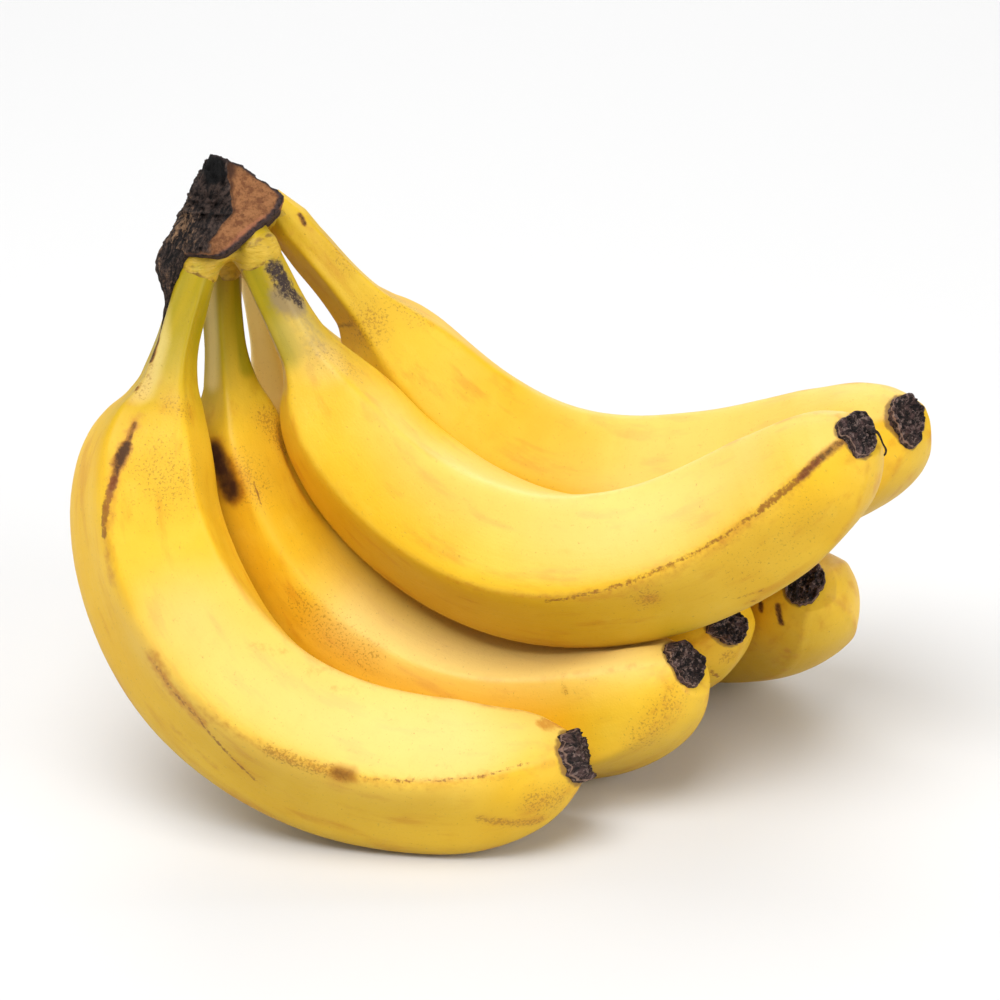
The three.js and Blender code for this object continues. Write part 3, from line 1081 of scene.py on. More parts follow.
    def _painted(self, kind: Kind, share: np.ndarray, turn: np.ndarray) -> np.ndarray:
        """Strength of one kind of mark (blemishes and painted highlights alike): the most that
        any of its strokes gives.

        A stroke's strength falls from its middle line with the distance over the
        skin, along the length and round the girth, through its half width.

        Args:
            kind: The kind of mark to paint.
            share: Shares of the length.
            turn: Angles in radians.

        Returns:
            Strengths from 0 up.
        """
        total = np.zeros_like(share)
        girth = self.shape.girth * smooth_curve(GIRTH_AT, OUTER_SHARE, share)
        for mark in self.marks:
            if mark.kind is not kind:
                continue
            path = np.array(mark.path, float)
            if len(path) == 1:
                path = np.repeat(path, 2, axis=0)
            for (s0, a0), (s1, a1) in zip(path[:-1], path[1:]):
                mid = np.radians((a0 + a1) / 2)
                off = (turn - mid + np.pi) % (2 * np.pi) - np.pi
                x = (share - s0) * self.shape.length
                y = (off + mid - np.radians(a0)) * girth
                dx = (s1 - s0) * self.shape.length
                dy = np.radians(a1 - a0) * girth
                span = np.maximum(dx * dx + dy * dy, 1e-9)
                t = np.clip((x * dx + y * dy) / span, 0, 1)
                gap = np.hypot(x - t * dx, y - t * dy) / (mark.width / 2)
                near = 1 - smooth_step(gap, 1 - mark.soft, 1 + mark.soft)
                total = np.maximum(total, mark.strength * near)
        return total

    def build(self, firm: tuple["Finger", ...], peel: bpy.types.Material,
              dried: bpy.types.Material) -> None:
        """Makes and places the finger and its blossom end.

        Args:
            firm: Fingers that this one yields to.
            peel: The peel's material.
            dried: The blossom end's material.
        """
        rings, channels = self.skin(firm)
        tip = self.line.point[-1] - TIP_SINK * self.line.go[-1]
        body = grid_object(f"{self.shape.name}_peel", rings, rings[0].mean(0), tip, channels)
        place(body, self.shape.name, peel)
        self.blossom.build(self, dried)


@dataclass(frozen=True)
class BlossomShape:
    """Dried blossom end: a flat ragged disc of crumpled tissue on the finger's tip.

    Lengths in mm, angles in degrees round the tip from the bend's outer side. The
    outline gives the disc's radius at some angles about its own centre, which sits
    shift mm from the tip's axis in the direction towards.
    """

    outline: tuple[tuple[float, float], ...] = ((0, 5.8), (180, 5.8))
    towards: float = 0.0
    shift: float = 0.0
    height: float = 2.2
    stain: float = 1.1  # width of the brown ring on the peel round it
    stain_end: tuple[float, float] = (13, 17)  # mm from the tip over which it must end
    ragged: float = 0.45
    seed: int = 1
    rows: int = 60
    sides: int = 168
    # The profile from the skirt to the middle, as shares of the radius and the height.
    profile_at: tuple[float, ...] = (0, 0.1, 0.22, 0.32, 0.42, 0.55, 0.75, 0.9, 1)
    profile_radius: tuple[float, ...] = (0.86, 0.95, 1, 0.97, 0.89, 0.74, 0.45, 0.22, 0.04)
    profile_height: tuple[float, ...] = (-0.6, -0.2, 0.3, 0.66, 0.64, 0.5, 0.45, 0.5, 0.5)
    base_depth: float = 1.2  # mm that it is closed off inside the finger's tip

    def reach(self, turn: np.ndarray) -> np.ndarray:
        """The disc's radius at an angle: a smooth curve through the outline, closed.

        Args:
            turn: Angles in radians.

        Returns:
            Radii in mm.
        """
        at, value = np.array(sorted(self.outline)).T
        at = np.concatenate([at - 360, at, at + 360])
        return smooth_curve(at, np.tile(value, 3), np.degrees(turn) % 360)

    def centre(self) -> tuple[float, float]:
        """The disc's centre off the tip's axis, outwards and across."""
        towards = np.radians(self.towards)
        return self.shift * np.cos(towards), self.shift * np.sin(towards)

    def collar(self, offset: np.ndarray, hollow: np.ndarray, cross: np.ndarray
               ) -> np.ndarray:
        """How strongly the peel is stained round the disc.

        Args:
            offset: From each skin point to the tip, in mm.
            hollow: Direction into the bend's hollow at the tip.
            cross: Direction across the bend at the tip.

        Returns:
            1 at the disc's edge, falling to 0 at the stain's width.
        """
        cx, cy = self.centre()
        x = offset @ hollow - cx
        y = offset @ cross - cy
        beyond = np.hypot(x, y) - self.reach(np.arctan2(y, x))
        near = 1 - smooth_step(np.linalg.norm(offset, axis=-1), *self.stain_end)
        return near * (1 - smooth_step(beyond, 0, self.stain))

    def build(self, finger: Finger, dried: bpy.types.Material) -> None:
        """Makes the disc: skirt, ragged rim and crumpled floor, swept from outside in.

        The profile is radius and height over a parameter from the skirt to the middle.
        Creased noise tears the rim and folds the floor, and outside the finger's flat
        tip the disc drops by 0.8 d + 0.1 d^2 for d mm over the tip's edge.

        Args:
            finger: The finger whose tip it sits on.
            dried: Its material.
        """
        t, turn = np.meshgrid(np.linspace(0, 1, self.rows),
                              np.linspace(0, 2 * np.pi, self.sides, endpoint=False),
                              indexing="ij")
        noise = ValueNoise(BLOSSOM_SEED + self.seed)
        radius = smooth_curve(self.profile_at, self.profile_radius, t)
        height = smooth_curve(self.profile_at, self.profile_height, t)
        flat = np.stack([np.cos(turn), np.sin(turn), 0 * turn], -1) * radius[..., None]
        grain = flat * 6 + 30 * self.seed
        inner = smooth_step(t, 0.28, 0.5)
        edge = np.exp(-((t - 0.34) / 0.16) ** 2)
        folds = (1.3 * (noise.ridged(grain + 40, 3.4) - 0.6)
                 + 0.8 * (noise.ridged(grain + 60, 1.4) - 0.6))
        lift = height + edge * self.ragged * noise.layered(grain, 3.6) + inner * folds
        lift = np.maximum(lift, 0.3 * inner - 2 * (1 - inner))  # keeps the floor proud
        torn = 0.05 * noise.at(grain + 90, 3.4) + 0.07 * noise.layered(grain, 1.3, 3)
        reach = self.reach(turn) * (1 + torn * (1 - inner))
        cx, cy = self.centre()
        out = flat[..., 0] * reach + cx
        side = flat[..., 1] * reach + cy
        over = np.maximum(np.hypot(out, side) - OUTER_SHARE[-1] * finger.shape.girth, 0)
        drop = (0.8 * over + 0.1 * over**2) * (1 - 0.45 * inner)
        line = finger.line
        rise = lift * self.height - drop
        rings = (line.point[-1] + rise[..., None] * line.go[-1]
                 - out[..., None] * line.hollow[-1] - side[..., None] * line.cross[-1])
        middle = line.point[-1] - cx * line.hollow[-1] - cy * line.cross[-1]
        straight = np.stack([lift * self.height, out, side], -1) + 50 * self.seed
        channels = {"straight": straight * MM, "inside": inner,
                    "rim": np.exp(-((t - 0.3) / 0.035) ** 2)}
        name = finger.shape.name.replace("finger", "blossom_end")
        base = middle - self.base_depth * line.go[-1]
        piece = grid_object(f"{name}_dried", rings, base, rings[-1].mean(0), channels)
        place(piece, name, dried)


# ------------------------------------------------------------------ crown

@dataclass(frozen=True)
class Face:
    """One bounding face of the crown: outward direction and distance in mm."""

    out: tuple[float, float, float]
    at: float


@dataclass(frozen=True)
class Spot:
    """A soft round patch on the crown, placed in mm from its middle."""

    at: tuple[float, float, float]
    size: float

    def near(self, local: np.ndarray) -> np.ndarray:
        """1 at its middle, falling away as exp(-(distance / size)^2)."""
        return np.exp(-(np.linalg.norm(local - np.array(self.at), axis=-1) / self.size) ** 2)


STRAND_WIND = 0.12  # radians that a strand's fibres wind from one stop to the next
STRAND_STEP = 1.6  # length of their pattern from one stop to the next
STRAND_ROUND = 4.2  # radius at which their pattern is read


@dataclass(frozen=True)
class Strand:
    """A strand of dried plant, such as the torn husk that hangs from the crown.

    Stops give the middle and half thickness of its cross-sections, in mm.
    """

    name: str
    node: str
    slot: str
    rows: int
    sides: int
    stops: tuple[tuple[float, float, float, float], ...]

    def build(self, dry: bpy.types.Material) -> None:
        """Sweeps a pleated section down the stops.

        The section's radius is its half thickness times 1 + pleats, creased noise that
        is drawn out along the strand, with finer fibres over it.

        Args:
            dry: Its material.
        """
        noise = ValueNoise(STRAND_SEED)
        stops = np.array(self.stops)
        at = np.arange(len(stops), dtype=float)
        t = np.linspace(0, at[-1], self.rows)
        middle = np.stack([smooth_curve(at, stops[:, k], t) for k in range(3)], -1)
        half = smooth_curve(at, stops[:, 3], t)
        go = np.gradient(middle, axis=0)
        go = go / np.linalg.norm(go, axis=1)[:, None]
        side = np.cross(go, [0, 1, 0])
        side = side / np.linalg.norm(side, axis=1)[:, None]
        other = np.cross(go, side)
        turn = np.linspace(0, 2 * np.pi, self.sides, endpoint=False)
        rows, turns = np.meshgrid(t, turn, indexing="ij")
        wound = turns + STRAND_WIND * rows
        fibre = np.stack([STRAND_STEP * rows, STRAND_ROUND * np.cos(wound),
                          STRAND_ROUND * np.sin(wound)], -1)
        pleat = noise.ridged(fibre, 2.4) - 0.6
        fine = noise.ridged(fibre * [1.5, 1, 1] + 20, 1.1) - 0.6
        clods = noise.layered(fibre * [2, 1, 1], 3.0, 3)
        size = smooth_step(half, 0.6, 2.5)[:, None]
        radius = half[:, None] * (1 + 0.4 * pleat) + size * (0.6 * fine + 0.35 * clods)
        rings = (middle[:, None] + (np.cos(turns) * radius)[..., None] * side[:, None]
                 + (np.sin(turns) * radius)[..., None] * other[:, None])
        channels = {"place": rings * MM, "fibre": fibre * MM, "torn": np.ones_like(rows),
                    "frayed": 0.5 * smooth_step(fine + pleat, 0.0, 0.5),
                    "black": 0.25 * smooth_step(-pleat, -0.1, 0.3)}
        piece = grid_object(self.name, rings, rings[0].mean(0), rings[-1].mean(0),
                            channels)
        place(piece, self.node, dry)


HUSK = Strand("crown_husk", "crown", "crown", 120, 130, (
    (-76.5, 5.0, 134.0, 1.5), (-77.0, 4.0, 131.0, 3.0), (-78.0, 2.2, 127.7, 4.0),
    (-79.6, 0.6, 124.5, 4.1), (-80.2, -0.6, 122.2, 3.3), (-80.6, -1.8, 119.6, 1.8),
    (-80.6, -3.4, 117.3, 1.3), (-81.2, -6.0, 113.3, 1.1), (-82.7, -9.4, 108.8, 0.5)))
CURLED_THREAD = Strand(
    "blossom_end_thread", "blossom_end_upper_front", "dried_blossom", 50, 16, (
        (84.0, -33.8, 96.0, 0.45), (86.0, -32.4, 95.1, 0.35), (86.8, -31.9, 93.8, 0.25),
        (87.5, -32.4, 92.2, 0.2), (88.2, -33.4, 90.9, 0.25), (87.8, -33.5, 89.6, 0.2)))


@dataclass
class Crown:
    """The cut crown: a dry cap over the fleshy cushion that the stems grow from."""

    middle: tuple[float, float, float] = (-71.1, 14.9, 134.4)
    sharpness: float = 14.0
    faces: dict[str, Face] = field(default_factory=lambda: {
        "cut": Face((0.13, -0.71, 0.69), 12.1),
        "torn": Face((-0.45, -0.7, 0.55), 12.0),
        "top": Face((0.57, 0.61, 0.55), 8.3),
        "apex": Face((0.11, 0.5, 0.86), 10.4),
        "flank": Face((-0.89, 0.09, 0.44), 5.8),
        "end": Face((0.95, -0.12, -0.27), 17.0),
        "corner": Face((0.67, -0.3, -0.68), 15.5),
        "under": Face((-0.1, -0.41, -0.91), 17.0),
        "back": Face((0.15, 0.98, -0.12), 25.0),
        "back_corner": Face((-0.6, 0.78, 0.1), 15.0),
    })
    cap_limits: dict[str, float] = field(default_factory=lambda: {
        "corner": 12.8, "under": 13.6, "end": 17.2})
    hollow: Spot = Spot((0.5, -12.5, 3.5), 6.0)  # of the torn half
    frayed: Spot = Spot((-6.5, -12.0, -1.0), 6.0)
    apex_char: Spot = Spot((1.1, -4.2, 12.8), 4.2)
    edge_char: Spot = Spot((1.0, -7.5, 9.6), 3.0)
    blush: Spot = Spot((9.0, -13.0, -4.0), 5.0)
    dark_corner: tuple[float, float] = (5.5, 3.6)  # x and z where the dark half's edge bends
    # Heights and depths of the cap's relief, in mm.
    pleat_height: float = 0.9
    clod_height: float = 1.4
    crag_height: float = 4.2
    lump_height: float = 0.4
    torn_depth: float = 0.3
    grain_height: float = 0.1
    rim_height: float = 0.45
    cut_depth: float = 0.3
    hollow_depth: float = 1.9
    cushion_inset: float = 1.4  # mm that the cushion's upper faces lie inside the cap
    cushion_limits: dict[str, float] = field(default_factory=lambda: {
        "cut": 8.5, "torn": 8.0, "corner": 14.2, "under": 15.8})
    # Flesh round each stem: where it starts and ends along the stem, and its thickness.
    collars: tuple[tuple[float, float, float], ...] = (
        (1.0, 2.6, 0.35), (-1.5, 0.3, 0.3), (-4.5, -3.5, -0.9), (-2.5, -0.5, 0.3),
        (-3.0, -1.0, -0.3), (-2.5, -0.5, -0.2))
    web: float = 3.0  # mm over which collars and faces melt together
    cushion_sharpness: float = 8.0
    search: tuple[float, float, float] = (4.0, 40.0, 0.5)  # mm: from, to and step outwards
    set_aside: float = 99.0  # mm at which a face no longer bounds anything
    under_roof: float = 1.2  # mm that the cushion keeps below the cap's outside
    under_hollow: float = 2.2  # mm more under the torn hollow
    levels: int = 210  # rings of the polar grid
    sides: int = 280

    def directions(self) -> np.ndarray:
        """Unit directions from the middle on a polar grid, its first row downwards.

        Returns:
            The directions, by level and side.
        """
        polar = np.pi * (np.arange(self.levels) + 0.5) / self.levels
        turn = np.linspace(0, 2 * np.pi, self.sides, endpoint=False)
        polar, turn = np.meshgrid(polar, turn, indexing="ij")
        return np.stack([np.sin(polar) * np.cos(turn), np.sin(polar) * np.sin(turn),
                         -np.cos(polar)], -1)

    def skin(self, u: np.ndarray, limits: dict[str, float], sharpness: float
             ) -> tuple[np.ndarray, dict[str, np.ndarray]]:
        """Distance from the middle to the faces, and each face's share of it.

        The distance in direction u is the p-norm of the faces,
        (sum of (out . u / at)^p)^(-1/p), which rounds the edges between them.

        Args:
            u: Unit directions.
            limits: Distances that stand in for some faces' own.
            sharpness: The exponent p.

        Returns:
            The distances and the shares by face name.
        """
        shares = {}
        for name, face in self.faces.items():
            out = np.array(face.out) / np.linalg.norm(face.out)
            reach = np.maximum(u @ out / limits.get(name, face.at), 0)
            shares[name] = reach**sharpness
        total = sum(shares.values())
        return total ** (-1 / sharpness), {k: v / total for k, v in shares.items()}

    def cap(self) -> bpy.types.Object:
        """The dry cap: corky cut face, torn hollow corner and dark overhanging rim.

        Each point is the middle plus its direction times the rounded distance to the
        faces and a lift. The lift adds the torn relief, a fine grain and the raised rim,
        and takes away the depth of the cut face and of the hollow.

        Returns:
            The cap.
        """
        noise = ValueNoise(CAP_SEED)
        u = self.directions()
        radius, share = self.skin(u, self.cap_limits, self.sharpness)
        local = u * radius[..., None]
        fibre = self._fibre_frame(local)
        into_dark = self._into_dark(local, noise)
        dark = smooth_step(into_dark, -0.7, 0.7)
        cut = share["cut"]
        lower = share["corner"] + share["under"]
        torn = np.clip(share["torn"] + share["flank"] + share["back"]
                       + share["back_corner"] + share["apex"] + share["top"]
                       + cut * dark, 0, 1)
        rim = np.clip(3.2 * cut * (lower + share["end"]), 0, 1) + smooth_step(lower, 0.4, 0.7)
        top_edge = np.clip(4 * cut * (share["top"] + share["apex"]), 0, 1)
        hollow = self.hollow.near(local) * dark

        crags = self.crag_height * (1 - 0.8 * (share["top"] + share["apex"]))
        lift = torn * self._torn_relief(local, fibre, crags, noise)
        lift = lift + self.grain_height * noise.layered(local + 50, 1.6, 2)
        ragged = 0.7 + 0.6 * noise.layered(local, 2.4, 2)
        lift = lift + self.rim_height * np.clip(rim, 0, 1) * ragged
        sunk = cut * (1 - dark) * (1 - np.clip(4 * cut * (1 - cut), 0, 1))
        lift = lift - self.cut_depth * sunk - self.hollow_depth * hollow

        black = (self.apex_char.near(local) + 0.7 * self.edge_char.near(local)) * dark
        shade = np.exp(-(into_dark / 1.4) ** 2) + smooth_step(local[..., 2], 6, 12)
        low_rim = cut * smooth_step(cut * lower, 0.004, 0.2)
        channels = {"place": local * MM, "fibre": fibre * MM, "torn": torn,
                    "frayed": 1.3 * self.frayed.near(local) - 0.6 * hollow,
                    "black": 1.2 * black,
                    "rim": np.clip(rim + 0.8 * top_edge, 0, 1),
                    "blush": low_rim + 0.8 * self.blush.near(local),
                    "shade": 0.7 * shade * (1 - dark),
                    # Painted highlight along the lower-left edge of the rim.
                    "painted_lip_highlight": np.exp(-((cut - 0.8) / 0.1) ** 2) * (lower > 0.05)
                    * smooth_step(-local[..., 0], 0.0, 5.0)}
        points = local + u * lift[..., None] + self.middle
        return grid_object("crown_cap", points, points[0].mean(0), points[-1].mean(0),
                           channels)

    def _into_dark(self, local: np.ndarray, noise: ValueNoise) -> np.ndarray:
        """How many mm a point lies inside the dark half of the cut, to the left.

        With h the height over the corner, its edge stands 0.17 h to the left of the
        corner above it and 0.27 (-h)^1.75 to the left below it, with a little noise.

        Args:
            local: Points in mm from the crown's middle.
            noise: Where the boundary's waver comes from.

        Returns:
            Depths in mm, below 0 in the corky half.
        """
        corner, level = self.dark_corner
        height = local[..., 2] - level
        end = corner - 0.17 * np.maximum(height, 0) - 0.27 * np.maximum(-height, 0) ** 1.75
        return end + 0.5 * noise.at(local, 2.6) - local[..., 0]

    def _torn_relief(self, local: np.ndarray, fibre: np.ndarray, crags: np.ndarray,
                     noise: ValueNoise) -> np.ndarray:
        """Relief of the torn surface: pleats down the fibres, clods and ledges.

        Args:
            local: Points in mm from the crown's middle.
            fibre: The same in the fibres' frame.
            crags: Height of the ledges in mm.
            noise: Where the relief comes from.

        Returns:
            Heights in mm.
        """
        pleats = noise.ridged(fibre * [0.16, 1, 1], 1.9, 4) - 0.58
        clods = noise.ridged(local, 2.6, 4) - 0.6
        ledges = noise.ridged(local * [1, 0.3, 1] + 30, 2.6) - 0.65
        lumps = noise.layered(local, 5.0, 3)
        return (self.pleat_height * pleats + self.clod_height * clods + crags * ledges
                + self.lump_height * lumps - self.torn_depth)

    def cushion(self, fingers: tuple[Finger, ...]) -> bpy.types.Object:
        """The fleshy cushion, just inside the cap, with a lobe round each stem.

        Along each direction the skin is the last zero of the smooth minimum of the
        distances to the faces and to a collar round each stem.

        Args:
            fingers: The fingers whose stems it holds.

        Returns:
            The cushion.
        """
        noise = ValueNoise(CUSHION_SEED)
        u = self.directions()
        limits = {name: face.at - self.cushion_inset for name, face in self.faces.items()}
        limits |= self.cushion_limits
        reach, share = self.skin(u, limits, self.cushion_sharpness)
        radius = reach.copy()
        first, last, step = self.search
        before = np.full(reach.shape, -1.0)
        for r in np.arange(first, last + step, step):
            here = self._field(u * r, r - reach, fingers)
            crossed = (before < 0) & (here >= 0)
            part = before / np.where(crossed, before - here, 1)
            radius = np.where(crossed, r - step + part * step, radius)
            before = here
        open_below = self.cap_limits | dict.fromkeys(("corner", "under", "end"),
                                                     self.set_aside)
        roof, _ = self.skin(u, open_below, self.sharpness)
        sunk = self.hollow.near(u * roof[..., None])
        radius = np.minimum(radius, roof - self.under_roof - self.under_hollow * sunk)
        points = u * radius[..., None] + self.middle
        lumps = noise.layered(points, 7.0, 3)
        folds = noise.ridged(points * [0.45, 0.45, 1.6], 3.2, 2) - 0.6
        points = points + u * (0.2 * lumps + 0.2 * folds)[..., None]
        crease = np.zeros(points.shape[:2])
        for finger in fingers:
            gap = finger_gap(finger, points)
            crease = np.maximum(crease, 1 - smooth_step(np.abs(gap), 0.0, 0.7))
        dry = np.clip(share["flank"] + share["back_corner"] + share["torn"], 0, 1)
        dry = dry * smooth_step(points[..., 2] - self.middle[2], -8.5, -4.0)
        channels = {"place": (points - self.middle) * MM, "crease": crease, "dry": dry}
        return grid_object("crown_cushion", points, points[0].mean(0),
                           points[-1].mean(0), channels)

    def _field(self, local: np.ndarray, faces: np.ndarray, fingers: tuple[Finger, ...]
               ) -> np.ndarray:
        """Smooth minimum of the distances to the faces and to the stems' collars.

        A collar is a capsule along the stem with the stem's own section, a little
        thicker. Two fields a and b join as a (1 - m) + b m - w m (1 - m) / 2 with
        m = 1/2 + (a - b) / 2w.

        Args:
            local: Points in mm from the crown's middle.
            faces: Distances to the faces.
            fingers: The fingers whose stems have collars.

        Returns:
            Distances in mm, below 0 inside the flesh.
        """
        total = faces
        for finger, (start, end, thick) in zip(fingers, self.collars):
            line = finger.line
            away = local - line.point[0] + self.middle
            along = np.clip(away @ line.go[0], start, end)
            away = away - along[..., None] * line.go[0]
            turn = angle_round(away, line.hollow[0], line.cross[0])
            stem = finger.radius(np.maximum(along, 0) / finger.shape.length, turn)
            gap = np.linalg.norm(away, axis=-1) - stem - thick
            mix = np.clip(0.5 + (gap - total) / (2 * self.web), 0, 1)
            total = gap * (1 - mix) + total * mix - self.web * mix * (1 - mix) / 2
        return total

    def _fibre_frame(self, local: np.ndarray) -> np.ndarray:
        """Turns points into a frame along the torn fibres, which run down to the left.

        Args:
            local: Points in mm from the crown's middle.

        Returns:
            Coordinates along and across the fibres.
        """
        along = np.array([-0.42, -0.55, -0.72])
        along = along / np.linalg.norm(along)
        side = np.cross(along, [0, 0, 1])
        side = side / np.linalg.norm(side)
        return np.stack([local @ along, local @ side, local @ np.cross(along, side)], -1)

    def build(self, fingers: tuple[Finger, ...]) -> None:
        """Makes and places the cap, the husk, the cushion and the curled thread.

        Args:
            fingers: The fingers whose stems the cushion holds.
        """
        dry = CrownFinish().material()
        place(self.cap(), "crown", dry)
        HUSK.build(dry)
        place(self.cushion(fingers), "crown", CushionFinish().material())
        CURLED_THREAD.build(dry)


def finger_gap(finger: Finger, points: np.ndarray) -> np.ndarray:
    """Distance from points to a stem's skin, root included.

    Args:
        finger: The finger whose stem it is.
        points: Points in mm, by row and side.

    Returns:
        Distances in mm, below 0 inside the stem.
    """
    line = finger.line
    flat = points.reshape(-1, 3)
    root = line.point[0] - line.go[0] * finger.shape.root
    nodes = np.concatenate([[root], line.point[:STEM_STATIONS]])
    shares = np.concatenate([[0], np.arange(STEM_STATIONS) / STATIONS])
    near = np.full(len(flat), np.inf)
    for i in range(len(nodes) - 1):
        step = nodes[i + 1] - nodes[i]
        t = np.clip((flat - nodes[i]) @ step / (step @ step), 0, 1)
        share = shares[i] + (shares[i + 1] - shares[i]) * t
        point = nodes[i] + t[:, None] * step
        _, _, hollow, cross = line.at(share)
        away = flat - point
        turn = angle_round(away, hollow, cross)
        near = np.minimum(near, np.linalg.norm(away, axis=1) - finger.radius(share, turn))
    return near.reshape(points.shape[:2])


# ------------------------------------------------------------------ the hand of bananas

UPPER_FRONT_MARKS = (
    Mark(Kind.SCUFF, ((0.036, 224), (0.05, 221), (0.062, 218)), 6.0, 1.1, 0.9),
    Mark(Kind.SCUFF, ((0.072, 204), (0.084, 196)), 4.0, 1.0, 0.9),
    Mark(Kind.VEIL, ((0.04, 222), (0.06, 218)), 9, 0.5, 1.0),
    Mark(Kind.VEIL, ((0.07, 240), (0.08, 226), (0.086, 212)), 7, 1.1, 0.9),
    Mark(Kind.VEIL, ((0.1, 205), (0.14, 219)), 7, 0.5, 0.9),
    Mark(Kind.PALE_AND_HIGHLIGHT, ((0.11, 236), (0.16, 232)), 10, 0.3, 0.9),
    Mark(Kind.GREEN, ((0.03, 285), (0.065, 290), (0.13, 291)), 9, 1.0, 0.8),
    # Painted highlight along the finger's upper face.
    Mark(Kind.PALE_AND_HIGHLIGHT, ((0.28, 208), (0.4, 217), (0.69, 221), (0.87, 208)), 20, 0.28, 1.0),
    Mark(Kind.CREASE, ((0.019, 318), (0.02, 270), (0.02, 240)), 1.3, 0.9, 0.8),
    Mark(Kind.TAN, ((0.45, 285), (0.6, 275), (0.72, 265)), 2.2, 0.5, 0.8),
    Mark(Kind.TAN, ((0.6, 277), (0.75, 266), (0.87, 259), (0.93, 257)), 4.5, 0.5, 0.9),
    Mark(Kind.SCRATCH, ((0.56, 281), (0.62, 273), (0.69, 266), (0.76, 262),
                        (0.87, 258)), 1.3, 0.75, 0.7),
    Mark(Kind.SCRATCH, ((0.87, 258), (0.93, 256), (0.97, 253)), 2.0, 0.9, 0.8),
    Mark(Kind.SCAR, ((0.94, 256), (0.97, 253), (0.995, 251)), 2.2, 0.8, 1.0),
    Mark(Kind.SPECKLE, ((0.675, 286),), 7, 1.0, 0.9),
    Mark(Kind.TAN, ((0.68, 288),), 4, 0.7, 0.9),
    Mark(Kind.SCRATCH, ((0.765, 319), (0.8, 323)), 0.9, 0.6),
    Mark(Kind.SCRATCH, ((0.775, 328), (0.79, 330)), 0.9, 0.6),
    Mark(Kind.SPECKLE, ((0.16, 212), (0.185, 205)), 9, 0.7, 0.9),
    Mark(Kind.SPECKLE, ((0.8, 292), (0.9, 287)), 14, 0.4, 0.9),
)
LOWER_FRONT_MARKS = (
    Mark(Kind.SCAR, ((0.0, 356), (0.06, 356)), 4.2),
    Mark(Kind.SCAR, ((0.06, 356), (0.085, 338), (0.1, 321), (0.125, 316)), 1.9, 0.95),
    Mark(Kind.PALE_AND_HIGHLIGHT, ((0.06, 338), (0.1, 308), (0.17, 298)), 4, 0.4, 0.8),
    Mark(Kind.CREASE, ((0.008, 300), (0.01, 260), (0.006, 222)), 1.2, 0.5, 0.8),
    Mark(Kind.SCAR, ((0.163, 311),), 1.3, 0.9, 0.7),
    Mark(Kind.SPECKLE, ((0.13, 315), (0.17, 297)), 3, 0.8),
    Mark(Kind.SCAR, ((0.205, 289), (0.226, 290), (0.234, 291)), 1.5, 0.75, 0.7),
    Mark(Kind.SCAR, ((0.234, 291), (0.252, 294)), 3.0, 1.0, 0.8),
    Mark(Kind.SCAR, ((0.254, 294), (0.281, 297)), 1.7, 0.8, 0.8),
    Mark(Kind.SCRATCH, ((0.27, 296), (0.301, 301), (0.33, 305)), 2.0, 1.0, 0.8),
    Mark(Kind.TAN, ((0.2, 288), (0.28, 297), (0.376, 306)), 3.4, 0.7, 0.9),
    Mark(Kind.SPECKLE, ((0.263, 254),), 20, 0.8, 0.9),
    # Painted highlight along the middle of the finger.
    Mark(Kind.PALE_AND_HIGHLIGHT, ((0.46, 262), (0.52, 256), (0.66, 243), (0.85, 230)), 22, 0.42, 1.0),
    Mark(Kind.SPECKLE, ((0.172, 250), (0.178, 228)), 6, 0.8, 0.9),
    Mark(Kind.TAN, ((0.469, 300), (0.504, 303), (0.551, 303)), 4.5, 0.8, 0.8),
    Mark(Kind.SCRATCH, ((0.475, 301), (0.504, 303), (0.551, 303)), 1.8, 0.6, 0.8),
    Mark(Kind.SCRATCH, ((0.551, 304), (0.584, 311), (0.602, 315),
                        (0.634, 323)), 1.2, 0.8, 0.7),
    Mark(Kind.TAN, ((0.53, 336), (0.56, 337), (0.594, 339)), 2.2, 0.5, 0.8),
    Mark(Kind.TAN, ((0.52, 299), (0.574, 291), (0.66, 284), (0.75, 279),
                    (0.9, 268)), 3.0, 0.55, 0.9),
    Mark(Kind.SPECKLE, ((0.63, 287), (0.72, 280)), 3, 1.2, 0.7),
    Mark(Kind.SCRATCH, ((0.74, 279), (0.82, 272), (0.89, 269), (0.95, 262)), 1.0, 0.65),
    Mark(Kind.BRUISE, ((0.712, 280), (0.73, 279)), 3.4, 0.62, 0.9),
    Mark(Kind.TAN, ((0.526, 238), (0.569, 223)), 2.6, 0.45, 1.0),
    Mark(Kind.TAN, ((0.614, 225), (0.659, 206)), 2.6, 0.45, 1.0),
    Mark(Kind.TAN, ((0.66, 224), (0.7, 216)), 2.4, 0.4, 1.0),
    Mark(Kind.SPECKLE, ((0.945, 303), (0.965, 312)), 7, 1.0, 0.8),
    Mark(Kind.SPECKLE, ((0.882, 307), (0.942, 329)), 2.5, 1.2, 0.7),
    Mark(Kind.TAN, ((0.975, 212), (0.99, 188)), 3.5, 1.0, 0.8),
)
UPPER_BACK_MARKS = (
    Mark(Kind.SCAR, ((-0.006, 184), (0.004, 194)), 1.7, 0.9, 0.8),
    Mark(Kind.TAN, ((0.0, 225), (0.06, 212)), 13, 0.3, 1.0),
    Mark(Kind.SPECKLE, ((0.16, 158), (0.19, 166)), 8, 0.8, 0.8),
    Mark(Kind.CREASE, ((0.145, 314), (0.145, 265)), 1.6, 0.7, 0.8),
    Mark(Kind.SPECKLE, ((0.153, 235),), 11, 0.9, 0.8),
    Mark(Kind.SPECKLE, ((0.048, 152), (0.08, 179)), 6, 0.7, 0.8),
)
